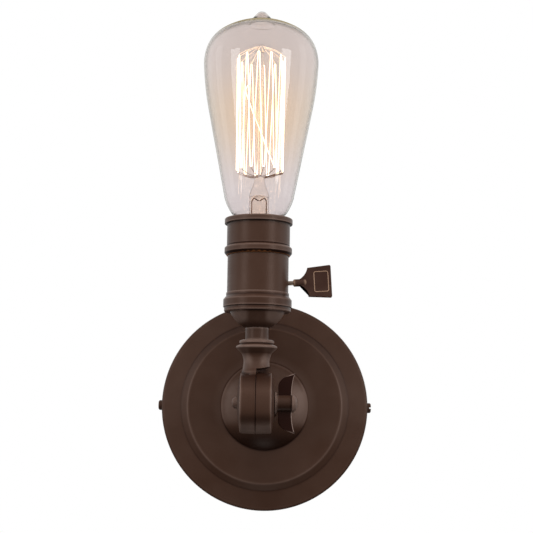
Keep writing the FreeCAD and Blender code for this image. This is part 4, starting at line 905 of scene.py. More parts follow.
@dataclass(frozen=True)
class CarbonStrand:
    """Lit carbon thread: white hot along the runs and a touch more amber in slow bands."""

    name: str = "lit_carbon_thread"
    slot: str = "lit_strand"
    thread: str = "3a2a20"
    hot: str = "ffedd0"
    amber: str = "ffca88"
    amber_share: float = 0.6
    strength: float = 4.8
    band_mm: float = 9.0

    @lru_cache
    def material(self) -> bpy.types.Material:
        """Builds the glow."""
        material, tree = blank_material(self.name)
        # The thread burns a little cooler in slow bands
        bands = spread(tree, noise(tree, object_mm(tree), self.band_mm), (0.4, 0.7), (0.0, self.amber_share))
        shown(tree, skin(tree, Base_Color=linear(self.thread), Roughness=0.7, Emission_Strength=self.strength,
                         Emission_Color=blend(tree, bands, self.hot, self.amber)))
        return material


class Finishes:
    """Every finish on the object, each once."""

    bronze = OilRubbedBronze()
    # The wings' paler edge tone colours the highlight painted on their rims
    wing_bronze = OilRubbedBronze(name="oil_rubbed_bronze_lacquer_wings", groove="1d0b07", edge="74625a")
    key_bronze = OilRubbedBronze(name="oil_rubbed_bronze_lacquer_key", slot="key_bronze", groove="1d100b",
                                 body="33201a", edge="8a6f5c", roughness=0.36)
    zinc = Metal("zinc_plated_steel", "zinc_steel", "c4c6c4", "8d8c80")
    brass = Metal("drawn_brass", "raw_brass", "d9b470", "93713c", roughness=0.26)
    worn_brass = Metal("worn_brass_shaft", "raw_brass", "dcc0ac", "8e6c58", roughness=0.3)
    solder = Metal("tin_solder", "solder", "b9b7b1", "7d7a73", roughness=0.45)
    # Painted light: the fan of wires gets a lit cream colour and a faint glow, standing in for the strand's light on
    # it
    wire = Metal("nickel_wire", "support_wire", "fbe6cf", "e2b88c", roughness=0.3, glow=1.0)
    lead = Metal("oxidised_lead_wire", "support_wire", "96745a", "54392a", roughness=0.4)
    green = Moulded("green_screw_enamel", "green_enamel", "1f6b3c", "2f8a52", 0.35, 1.2, coat=0.4)
    fibre = Moulded("vulcanised_fibre", "fibre_board", "3b2c24", "6a5444", 0.85, 0.7, speck_share=0.6)
    phenolic = Moulded("moulded_phenolic", "black_phenolic", "17120f", "2c231d", 0.3, 3.0)
    black_glass = Moulded("black_base_glass", "black_glass", "0d0d10", "1b1b20", 0.08, 2.5, coat=0.3)
    glass = LampGlass()
    stem_glass = LampGlass(name="drawn_stem_glass", top="fefcfa", middle="fefbf8", warm="fefaf5", foot="fdf6ef",
                           rim="84604a", wave_mm=6.0, ior=1.25, side_depth=0.65)
    strand = CarbonStrand()


def place_piece(name: str, mesh: Mesh, finish: Any, body: Body, *nodes: str) -> bpy.types.Object:
    """Makes the piece, gives it its finish and body, and reports it.

    Args:
        name: the piece's name.
        mesh: its mesh, in the frame.
        finish: one of the finishes.
        body: what it moves with.
        nodes: CAD nodes that it stands for.
    Returns:
        the object.
    """
    piece = linked(name, mesh)
    mesh.materials.clear()
    mesh.materials.append(finish.material())
    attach(piece, body.value)
    if nodes:
        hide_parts(*nodes)
    LOG.info("%s: %d faces on %s", name, len(mesh.polygons), body.value)
    return piece


def place_turned(name: str, marks: Sequence[Mark], place: Place, steps: int, body: Body, node: str,
                 finish: Any = Finishes.bronze, edge: float = PLAIN_EDGE,
                 wear_and_shading: Callable[[Array], Array] | None = None) -> Mesh:
    """Turns one outline and places it as a piece, marked for the paint where it has any.

    Args:
        name: the piece's name.
        marks: radius and height of the outline's corners.
        place: where the axis stands.
        steps: number of angles.
        body: what it moves with.
        node: CAD node that it stands for.
        finish: one of the finishes.
        edge: rounding of corners that state none, in mm.
        wear_and_shading: shift of the rubbing, and of the painted light and shade, at local points in mm.
    Returns:
        the piece's mesh.
    """
    outline = trace(marks, edge)
    mesh = lathe(name, outline, place, steps)
    if isinstance(finish, OilRubbedBronze):
        mark_surface(mesh, (place, outline))
    if wear_and_shading:
        shifted_mark(mesh, place, wear_and_shading)
    place_piece(name, mesh, finish, body, node)
    return mesh


def softened(body: Body, *pieces: tuple[str, Any, float]) -> None:
    """Copies of hidden CAD pieces with their edges broken, in place of the nodes.

    Args:
        body: what they move with.
        pieces: each CAD node, its finish, and the width of its broken edge in mm.
    """
    for node, finish, edge in pieces:
        mesh = frame["nodes"][node].data.copy()
        with opened(mesh, outwards=False) as work:
            bmesh.ops.remove_doubles(work, verts=work.verts, dist=WELD)
            bmesh.ops.dissolve_limit(work, angle_limit=math.radians(0.5), verts=work.verts, edges=work.edges)
        smooth(mesh, 30)
        bevel = place_piece(node + "_softened", mesh, finish, body, node).modifiers.new("broken edges", "BEVEL")
        bevel.width, bevel.segments = edge * MM, 2
        bevel.limit_method, bevel.angle_limit = "ANGLE", math.radians(50)
        bevel.harden_normals = False


# Sub-assemblies

@dataclass
class WallPlate:
    """Spun plate with its stepped face, the two screws in its rim, and the strap and fixings behind it."""

    radius: float = 60.0
    sheet: float = 1.0
    rim_depth: float = 9.0
    rim_rounding: float = 1.6
    least_rounding: float = 0.3
    band_top: float = 11.6
    ring_outer_r: float = 48.6
    ring_inner_r: float = 44.7
    ring_lean: float = -0.1
    disc_top: float = 14.8
    root_r: float = 1.1
    brow_r: float = 1.3
    least_brow: float = 0.25
    dome_r: float = 25.3
    seat_r: float = 9.8
    seat_out: float = 26.8
    hole_r: float = 4.95
    screw_depth: float = 4.6
    screw_r: float = 2.05
    screw_head_r: float = 2.9
    screw_head_h: float = 2.1
    screw_length: float = 9.0
    screw_oil: float = -0.9
    slot_w: float = 0.9
    slot_depth: float = 1.0
    slot_over: float = 1.0

    # How the plate's tone is shifted: darker at its edge, painted highlights on the dome's flanks, painted shade low
    # on it, behind the notch and over the ring's top, and the dome's foot less dark
    edge_darkening: Fade = Fade(-1.6, -0.8, 0.6)
    on_dome: Fade = Fade(-0.6, 0.4)
    over_disc: Fade = Fade(-0.2, 0.0)
    foot_lift: Fade = Fade(-1.5, -0.5)
    foot_up: Fade = Fade(-14.0, -4.0, 0.5)
    low_shade: Fade = Fade(9.0, 20.0, 0.9)
    shadow_across: Bell = Bell(-1.8, 4.0, 1.1, 4)
    shadow_up: Bell = Bell(20.8, 3.2)
    flank_light: Range = (0.5, 0.85)
    flank_out: Fade = Fade(9.0, 17.0)
    flank_up: Fade = Fade(-15.0, -7.0)
    ring_shade: Fade = Fade(5.0, 35.0, 0.4)
    ring_off: float = 1.6
    ring_band: Fade = Fade(-2.8, -2.0)

    def dome_middle(self, inset: float) -> Via:
        """A point half way up the dome, on the ball through its base and its seat."""
        rise = self.seat_out - self.disc_top
        centre = (rise ** 2 + self.seat_r ** 2 - self.dome_r ** 2) / (2 * rise)
        ball = math.hypot(self.dome_r, centre) - inset
        turn = (math.atan2(-centre, self.dome_r) + math.atan2(rise - centre, self.seat_r)) / 2
        return Via(ball * math.cos(turn), self.disc_top + centre + ball * math.sin(turn))

    def face(self, inset: float) -> list[Mark]:
        """Section of one face of the sheet, from the rim's edge at the wall to the hole in the middle."""
        lean, least = self.ring_lean - inset, self.least_rounding
        return [
            Corner(self.radius - inset, 0.0, least),
            Corner(self.radius - inset, self.rim_depth - inset, max(self.rim_rounding - inset, least)),
            Corner(self.ring_outer_r + lean, self.band_top - inset, self.root_r + inset),
            Corner(self.ring_inner_r + lean, self.disc_top - inset, max(self.brow_r - inset, self.least_brow)),
            Corner(self.dome_r, self.disc_top - inset), self.dome_middle(inset),
            Corner(self.seat_r, self.seat_out - inset, least), Corner(self.hole_r, self.seat_out - inset),
        ]

    def wear_and_shading(self, local: Array) -> Array:
        """Shift of the rubbing and painted light: darker at the plate's edge, and highlights painted on the dome's
        flanks, more on the right.

        Shade is painted low on the dome, as a soft shadow behind the notch over the right-hand cheek, and over the
        ring's top; the dome's foot is less dark except low down.
        """
        across, up, out = local.T
        r = np.hypot(across, up)
        dome = self.on_dome(self.dome_r - r) * self.over_disc(out - self.disc_top)
        foot = self.foot_lift(r - self.dome_r) * self.foot_lift(self.dome_r - r) * self.foot_up(up)
        left, right = self.flank_light
        flank = np.where(across > 0, right, left) * self.flank_out(np.abs(across)) * self.flank_up(-np.abs(up))
        shadow = self.shadow_across(across) * self.shadow_up(up)
        ring = self.ring_shade(up) * self.ring_band(-np.abs(r - self.ring_inner_r - self.ring_off))
        return foot + (flank - self.low_shade(-up)) * dome - self.edge_darkening(r - self.radius) - shadow - ring

    def plate(self) -> None:
        """The plate: both faces of the sheet as one closed section, turned about the wall's normal."""
        marks = self.face(0.0) + self.face(self.sheet)[::-1]
        place_turned("stepped_plate", marks, OUTWARD, 224, Body.WALL, "backplate", wear_and_shading=self.wear_and_shading)

    def rim_screws(self) -> None:
        """Two pan-head screws with a slot, one each side, the left one's slot upright."""
        top = self.screw_head_h
        outline = trace([
            Corner(0, -self.screw_length), Corner(self.screw_r, -self.screw_length, 0.5), Corner(self.screw_r, 0),
            Corner(self.screw_head_r, 0), Corner(self.screw_head_r, top, top * 0.6), Corner(0, top)])
        half, long = self.slot_w / 2, self.screw_head_r + self.slot_over
        upright = box(-long, long, -half, half)
        level = [Corner(-m.b, m.a) for m in upright]
        deep, middle = self.slot_depth + self.slot_over, top + (self.slot_over - self.slot_depth) / 2
        for side, name, slot in ((-1, "left", upright), (1, "right", level)):
            place = Place((side * self.radius, -self.screw_depth, 0), (0, 0, -side), (0, 1, 0), (side, 0, 0))
            tool = slab("slot", trace(slot, edge=0.3), place, deep, 0.05, middle)
            mesh = carved(lathe(name, outline, place, 48), (tool, Cut.AWAY))
            mark_surface(mesh, (place, outline))
            shifted_mark(mesh, place, lambda local: np.full(len(local), self.screw_oil))
            place_piece(f"rim_screw_{name}", mesh, Finishes.bronze, Body.WALL, "side_screws")

    def build(self) -> None:
        """Plate, screws and the fixings behind."""
        self.plate()
        self.rim_screws()
        softened(Body.WALL, ("mounting_strap", Finishes.zinc, 0.25), ("ground_screw", Finishes.green, 0.3),
                 ("arm_nipple", Finishes.brass, 0.2), ("nipple_lockwasher", Finishes.zinc, 0.1),
                 ("nipple_locknut", Finishes.zinc, 0.3))


@dataclass
class Knuckle:
    """Two round cheeks that face each other: one on the arm from the plate, one under the head's turned neck."""

    seam_gap: float = 0.2
    cheek_r: float = 16.8
    edge_t: float = 8.3
    bulge: float = 1.95
    crown: float = 0.45
    face_drop: float = 1.4
    face_middle: float = 0.6
    boss_r: float = 4.05
    bolt_r: float = 2.4
    bolt_play: float = 0.1
    bolt_end: float = 18.95
    notch_r: float = 19.9
    drum_w: float = 30.0
    pocket_inner_r: float = 5.6
    pocket_outer_r: float = 12.4
    pocket_depth: float = 3.8
    pocket_over: float = 3.0
    seat_out: float = 26.8
    pivot_out: float = 60.0

    # The arm's stem from the plate up to the cheek, and the neck from the cheek up to its rings
    arm_marks: Marks = (
        Corner(0, 0.02), Corner(9.6, 0.02, 0.5), Corner(9.6, 2.4, 0.5), Corner(8.2, 2.4), Corner(8.2, 3.4),
        Via(7.03, 7.9))
    arm_waist: Range = (6.7, 0.34)
    arm_r: float = 8.1
    arm_end_share: float = 0.6
    arm_end_round: float = 1.5
    neck_marks: Marks = (
        Corner(0, 9.9), Corner(8.2, 9.9), Corner(8.2, 16.6), Via(7.4, 19.7), Corner(7.15, 22.8),
        Via(7.52, 24.95), Corner(8.4, 27.1), Corner(11.3, 29.85, 0.35), Corner(11.3, 30.75, 0.35),
        Corner(9.0, 31.9, 0.2), Corner(9.55, 32.35, 0.35), Corner(9.55, 33.65, 0.35), Corner(8.7, 34.1, 0.2),
        Corner(0, 34.1))
    bolt_head: Marks = (
        Corner(0, -2.5), Corner(0.38, -2.5), Via(2.36, -2.15), Corner(3.15, -0.75), Corner(3.15, 0, 0.1),
        Corner(2.4, 0))

    # Where the knuckle is oiled in the seam by depth, and where light and shade are painted round a cheek's rim and up
    # the neck
    seam_oil: tuple[Range, ...] = ((0.8, -0.05), (0.12, -0.4))
    arm_shade: Fade = Fade(9.5, 14.5)
    arm_shade_most: float = 0.9
    rim_inside: Fade = Fade(-1.6, -0.6)
    rim_outside: Fade = Fade(-0.5, -0.3)
    in_front: Fade = Fade(-2.0, 2.0)
    top_shade: Fade = Fade(6.0, 14.0, 0.75)
    low_shade: Bell = Bell(-8.9, 2.5, 0.6)
    low_light: Fade = Fade(11.0, 15.5)
    bottom_edge_light: Fade = Fade(15.6, 16.3, 0.9)
    on_neck: Fade = Fade(17.5, 19.0)
    neck_rub: float = 0.2
    neck_flank: Fade = Fade(0.84, 0.98, 0.8)
    lip_shade: Fade = Fade(24.0, 26.5, 0.45)
    lip_under: Fade = Fade(-29.6, -29.0)
    lip_middle: Fade = Fade(-5.0, -3.0)
    waist_up: Bell = Bell(23.8, 2.6, 0.9)
    waist_out: Bell = Bell(4.6, 2.0)

    def cheek(self) -> Outline:
        """Section of a cheek from the bolt's hole at the seam to its bulging face, with oil left in the seam."""
        outer_r, inner_r = self.cheek_r - self.crown, self.bolt_r + self.bolt_play
        top = self.edge_t + self.bulge
        ball = (outer_r ** 2 + self.bulge ** 2) / (2 * self.bulge)
        low_r, middle_r = outer_r - self.face_drop, outer_r * self.face_middle

        def face(r: float) -> float:
            return top - ball + math.sqrt(ball ** 2 - r ** 2)

        outline = trace([
            Corner(inner_r, 0), Corner(self.cheek_r, 0, 0.3), Corner(outer_r, self.edge_t, 0.55),
            Corner(low_r, face(low_r)), Via(middle_r, face(middle_r)), Corner(self.boss_r, face(self.boss_r)),
            Corner(self.boss_r, top), Corner(inner_r, top)])
        rub_and_shading = outline.rub_and_shading
        for depth, value in self.seam_oil:
            rub_and_shading = np.where(outline.points[:, 1] < depth, value, rub_and_shading)
        return replace(outline, rub_and_shading=rub_and_shading)

    def cheek_shading(self, local: Array) -> Array:
        """Painted light and shade round a cheek's rim in front: shade at the top and in a band below, highlights at
        the bottom.
        """
        low, back = local[:, 0], local[:, 1]
        r = np.hypot(low, back)
        rim = self.rim_inside(r - self.cheek_r) * self.rim_outside(self.cheek_r - r) * self.in_front(-back)
        return rim * (self.low_light(low) + self.bottom_edge_light(low) - self.top_shade(-low) - self.low_shade(-low))

    def neck_shading(self, local: Array) -> Array:
        """Painted light and shade on the neck: all a little paler, highlights on its flanks and waist, shade under the
        lip.
        """
        out, up = np.abs(local[:, 0]), local[:, 2]
        r = np.maximum(np.hypot(local[:, 0], local[:, 1]), SAME_SPOT)
        # Painted shade under the lip in the middle
        oil = self.lip_shade(up) * self.lip_under(-up) * self.lip_middle(-out)
        # Painted highlights on the flanks and as two soft spots on the waist
        return self.on_neck(up) * (self.neck_rub + self.neck_flank(out / r) - oil
                                   + self.waist_up(up) * self.waist_out(out))

    def drum(self, side: int) -> Mesh:
        """The space that the other cheek turns in, on one side of the seam."""
        low, high = sorted((0.0, side * self.drum_w))
        return lathe("drum", trace(box(0, self.notch_r, low, high), TOOL_EDGE), ACROSS)

    def beside(self, side: int) -> Place:
        """Place of the cheek on one side of the seam, 1 for the right and -1 for the left."""
        return (ACROSS if side > 0 else BACK_ACROSS).moved(side * self.seam_gap / 2)

    def knuckled(self, stem: Outline, place: Place, steps: int, side: int,
                 *cuts: tuple[Mesh, Cut]) -> Mesh:
        """A turned stem that ends in a cheek beside the seam.

        Args:
            stem: the stem's outline.
            place: where the stem stands.
            steps: number of angles of the stem.
            side: 1 for the cheek on the right, -1 for the one on the left.
            cuts: further shapes to join or cut out.
        Returns:
            the marked mesh.
        """
        cheek, there = self.cheek(), self.beside(side)
        mesh = carved(lathe("stem", stem, place, steps), (self.drum(-side), Cut.AWAY),
                      (lathe("cheek", cheek, there), Cut.ON), *cuts)
        mark_surface(mesh, (place, stem), (there, cheek))
        # Painted light and shade round the cheek's rim
        shifted_mark(mesh, ACROSS, self.cheek_shading)
        return mesh

    def arm(self) -> None:
        """The arm: a foot on the plate's dome, a coved stem, and the right-hand cheek."""
        neck = self.pivot_out - self.seat_out
        end = neck - self.cheek_r * self.arm_end_share
        waist_r, waist_share = self.arm_waist
        stem = trace(self.arm_marks + (
            Corner(waist_r, neck * waist_share), Corner(self.arm_r, neck - self.cheek_r),
            Corner(self.arm_r, end, self.arm_end_round), Corner(0, end)))
        # Painted shade: the stem darkens towards the cheek, where shade falls between the cheeks and the neck
        oil = np.minimum(self.arm_shade(stem.points[:, 1]), self.arm_shade_most)
        stem = replace(stem, rub_and_shading=np.minimum(stem.rub_and_shading, -oil))
        mesh = self.knuckled(stem, OUTWARD.moved(y=-self.seat_out), 128, 1)
        place_piece("arm_and_cheek", mesh, Finishes.bronze, Body.WALL, "wall_arm")

    def neck(self) -> None:
        """The head's neck: a coved bell with a lip and a ring on top, and the left-hand cheek with its pocket."""
        pocket = box(self.pocket_inner_r, self.pocket_outer_r, -self.pocket_over, self.pocket_depth)
        tool = lathe("pocket", trace(pocket), self.beside(-1), 96)
        mesh = self.knuckled(trace(self.neck_marks), HEAD, 144, -1, (tool, Cut.AWAY))
        shifted_mark(mesh, HEAD, self.neck_shading)
        place_piece("head_and_cheek", mesh, Finishes.bronze, Body.HEAD, "head_knuckle")

    def bolt(self) -> None:
        """The pivot bolt: a domed head on the left cheek's boss and a shank through to the wing nut."""
        base = -self.seam_gap / 2 - self.edge_t - self.bulge
        shank = [Corner(self.bolt_r, self.bolt_end, 0.6), Corner(0, self.bolt_end)]
        place_turned("pivot_bolt_domed", raised(self.bolt_head, base) + shank, ACROSS, 64, Body.HEAD, "pivot_bolt")

    def build(self) -> None:
        """Arm, neck and bolt."""
        self.arm()
        self.neck()
        self.bolt()


@dataclass
class WingNut:
    """Wing nut with a domed cap, and the washer it runs on. The wings are flat, with faces painted dark and highlights
    painted on their rims.
    """

    base: float = 11.35
    bore_r: float = 2.48
    washer_at: float = 10.4
    washer_r: float = 6.0
    washer_t: float = 0.9
    hub_r: float = 4.5
    hub_l: float = 8.2
    cap_marks: Marks = (
        Corner(4.85, 0, 0.15), Corner(4.85, 0.7), Via(3.49, 2.16), Corner(0.58, 3.0), Corner(0.0, 3.0),
        Corner(0.0, 1.6), Corner(2.48, 1.5))
    reach: float = 16.3
    thickness: float = 2.4
    edge: float = 0.4
    rim_light_from: float = 0.5
    rim_light_run: float = 3.0
    marks: Marks = (
        Corner(0.09, 0.0), Corner(0.095, 0.6), Via(0.27, 0.78), Corner(0.62, 0.9), Corner(1.2, 1.0),
        Via(1.04, 0.68), Corner(0.98, 0.33), Corner(0.98, 0.0))

    # Painted light and shade on the hub: a highlight on its cap outwards, and shade on its side, more so low down
    cap_highlight: Fade = Fade(0.6, 1.6, 0.6)
    side_shade: float = 0.3
    side_low: Fade = Fade(-0.5, 2.0, 0.4)
    on_side: Fade = Fade(0.0, 0.4)

    def wing(self, side: int) -> Mesh:
        """One wing above or below the hub, its flat faces painted near black as a dark reflection, its rim's outer
        part painted pale as a highlight.
        """
        marks = [type(m)(self.base + m.a * self.hub_l, side * m.b * self.reach) for m in self.marks]
        mesh = slab("wing", trace(marks, edge=0.7), WINGS, self.thickness, self.edge)
        # Painted light and dark reflection: the faces take the darkest tone, and the rim pales from the wing's outer
        # half outwards
        start = self.base + self.rim_light_from * self.hub_l
        mark_slab(mesh, WINGS, self.thickness, -1.0, Fade(start, start + self.rim_light_run))
        return mesh

    def hub_shading(self, local: Array) -> Array:
        """Painted light and shade on the hub: a highlight on its end cap, and shade on its side, most on its lower
        half.
        """
        low, out = local[:, 0], local[:, 2] - self.base - self.hub_l
        return self.cap_highlight(out) - (self.side_shade + self.side_low(low)) * self.on_side(-out)

    def build(self) -> None:
        """Washer, hub and wings."""
        washer = box(self.bore_r, self.washer_r, self.washer_at, self.washer_at + self.washer_t, 0.1, 0.22)
        place_turned("wing_nut_washer", washer, ACROSS, 80, Body.WASHER, "nut_washer", edge=0.1)
        top = self.base + self.hub_l
        side = [Corner(self.bore_r, self.base), Corner(self.hub_r, self.base, 0.3), Corner(self.hub_r, top, 0.15)]
        hub = side + raised(self.cap_marks, top)
        place_turned("wing_nut_hub", hub, ACROSS, 96, Body.WING_NUT, "wing_nut", wear_and_shading=self.hub_shading)
        for side, name in ((1, "upper"), (-1, "lower")):
            place_piece(f"wing_{name}", self.wing(side), Finishes.wing_bronze, Body.WING_NUT, "wing_nut")


@dataclass
class Socket:
    """Keyed socket on the neck: coupling tube, round cup under a stepped collar, shell, and a beaded sleeve."""

    bore_r: float = 4.95
    neck_top: float = 34.1
    coupling_r: float = 6.4
    coupling_edge: float = 0.25
    cup_bottom: float = 40.9
    cup_r: float = 16.3
    cup_sheet: float = 0.9
    cup_floor: float = 0.95
    cup_top_r: float = 15.0
    cup_top: float = 49.5
    cup_bow: Range = (44.2, 45.0)
    collar_marks: Marks = (
        Corner(18.3, 49.5, 0.7), Corner(18.3, 52.1, 0.25), Corner(18.8, 52.1, 0.3), Corner(18.8, 56.2, 0.45),
        Corner(17.3, 58.1, 0.3), Corner(17.3, 60.0, 0.35))
    collar_low: float = 52.4
    collar_hole_r: float = 14.1
    cap_top: float = 60.0
    shell_r: float = 16.85
    shell_low: float = 52.5
    shell_top: float = 100.7
    shell_sheet: float = 0.8
    shell_play: float = 0.1
    key_hole_r: float = 1.8
    key_hole: Range = (8.0, 22.0)
    sleeve_r: float = 17.4
    bead_low: float = 80.6
    bead_marks: Marks = (
        Corner(17.4, 0, 0.1, worn=True), Corner(17.75, 0.45), Corner(18.65, 1.5, 0.9), Corner(18.65, 4.3, 0.9),
        Corner(17.55, 5.2, 0.1), Corner(17.2, 5.3, 0.08), Corner(17.4, 5.7))
    rim_marks: Marks = (
        Corner(17.4, 98.3), Corner(18.8, 98.3, 0.35), Corner(18.8, 101.3, 0.6), Corner(16.3, 101.3, 0.15),
        Corner(16.3, 100.8))

    # Painted light and shade on the socket: highlights on the cup's flanks, shade at its bottom, and below the bead by
    # height over its foot
    on_cup: Fade = Fade(-0.3, 0.1)
    flank_out: Fade = Fade(4.0, 8.5, 1.8)
    flank_up: Fade = Fade(42.0, 45.5)
    bottom_shade: Fade = Fade(-44.0, -42.0, 0.5)
    collar_oil: float = 0.12
    at_skin: Fade = Fade(-0.1, 0.0)
    in_front: Fade = Fade(-8.0, 4.0)
    band_fade: float = 0.2
    bead_shade: float = 1.6
    shade_band: Range = (0.15, 1.5)
    copper: float = 0.8
    copper_band: Range = (0.55, 0.95)
    copper_width: float = 13.0
    copper_wave: tuple[float, float, float] = (0.75, 0.25, 2.1)

    def coupling(self) -> None:
        """Short tube between the neck and the cup."""
        edge = self.coupling_edge
        marks = box(self.bore_r, self.coupling_r, self.neck_top, self.cup_bottom, edge, edge)
        place_turned("coupling_tube", marks, HEAD, 96, Body.HEAD, "stem_coupling")

    def cup_shading(self, local: Array) -> Array:
        """Shift of the rubbing: highlights painted on the cup's flanks, shade painted at its bottom, the collar's
        edges plain.
        """
        up, cup = local[:, 2], self.on_cup(self.cup_top - local[:, 2])
        flank = self.flank_out(np.abs(local[:, 0])) * self.flank_up(up)
        return cup * (flank - self.bottom_shade(-up)) - self.collar_oil * (1 - cup)

    def cap(self) -> None:
        """Cup and collar: a ball's lower part, a ring, a taller collar, a sloped shoulder and a lip."""
        centre = self.cup_top + math.sqrt(self.cup_r ** 2 - self.cup_top_r ** 2)

        def on_ball(h: float, inset: float = 0.0) -> float:
            return math.sqrt((self.cup_r - inset) ** 2 - (centre - h) ** 2)

        low, floor, (bow, inner_bow) = self.cup_bottom, self.cup_bottom + self.cup_floor, self.cup_bow
        sheet, seat_r = self.cup_sheet, self.shell_r + self.shell_play
        marks = [
            Corner(self.bore_r, low), Corner(on_ball(low), low, 0.1), Via(on_ball(bow), bow),
            Corner(self.cup_top_r, self.cup_top), *self.collar_marks,
            Corner(seat_r, self.cap_top), Corner(seat_r, self.collar_low), Corner(self.collar_hole_r, self.collar_low),
            Corner(self.collar_hole_r, self.cup_top), Via(on_ball(inner_bow, sheet), inner_bow),
            Corner(on_ball(floor, sheet), floor), Corner(self.bore_r, floor)]
        place_turned("cup_and_collar", marks, HEAD, 192, Body.HEAD, "socket_cap", wear_and_shading=self.cup_shading)

    def shell(self) -> None:
        """Straight shell with the hole that the key's shaft turns in."""
        outline = trace(box(self.shell_r - self.shell_sheet, self.shell_r, self.shell_low, self.shell_top))
        hole = trace(box(0, self.key_hole_r, *self.key_hole), TOOL_EDGE)
        mesh = carved(lathe("shell", outline, HEAD, 192), (lathe("hole", hole, KEY_AXIS, 40), Cut.AWAY))
        mark_surface(mesh, (HEAD, outline))
        place_piece("straight_shell", mesh, Finishes.bronze, Body.HEAD, "socket_shell")

    def under_bead(self, local: Array, band: Range) -> Array:
        """1 between two heights over the bead's foot, on the outside in front, softly faded, and 0 elsewhere."""
        across, back, up = local.T
        low, high = band
        outside = self.at_skin(np.hypot(across, back) - self.sleeve_r) * self.in_front(-back)
        over = Fade(low - self.band_fade, low)(up - self.bead_low)
        return outside * over * Fade(-high - self.band_fade, -high)(self.bead_low - up)

    def sleeve_shade(self, local: Array) -> Array:
        """Shift of the rubbing: shade painted under the bead in front, where its underside faces down."""
        return -self.bead_shade * self.under_bead(local, self.shade_band)

    def copper_wear_and_glint(self, local: Array) -> Array:
        """Shift of the bareness: copper under the bead, worn through and also a painted glint, widest in front and
        broken by a slow wave.
        """
        across, (level, height, turns) = local[:, 0], self.copper_wave
        wave = np.cos(across / self.copper_width) ** 2 * (level + height * np.sin(across * turns))
        return self.copper * self.under_bead(local, self.copper_band) * wave

    def sleeve(self) -> None:
        """Sleeve with a round bead at its foot, worn to copper below it with painted shade and glint in front, and a
        rim folded over the shell.
        """
        inner, low, high = self.shell_r + self.shell_play, self.bead_low, self.rim_marks[-1].b
        marks = [Corner(inner, low), *raised(self.bead_marks, low), *self.rim_marks, Corner(inner, high)]
        mesh = place_turned("beaded_sleeve", marks, HEAD, 192, Body.HEAD, "shade_ring", edge=0.12,
                            wear_and_shading=self.sleeve_shade)
        shifted_mark(mesh, HEAD, self.copper_wear_and_glint, "bare")

    def build(self) -> None:
        """Coupling, cap, shell, sleeve, and the works inside, seen only through the open rim."""
        self.coupling()
        self.cap()
        self.shell()
        self.sleeve()
        softened(Body.HEAD, ("head_nipple", Finishes.brass, 0.2), ("cap_locknut", Finishes.zinc, 0.2),
                 ("insulating_liner", Finishes.fibre, 0.1), ("switch_block", Finishes.phenolic, 0.3),
                 ("terminal_screws", Finishes.brass, 0.2), ("centre_contact", Finishes.brass, 0.1),
                 ("switch_leaf", Finishes.brass, 0.1))


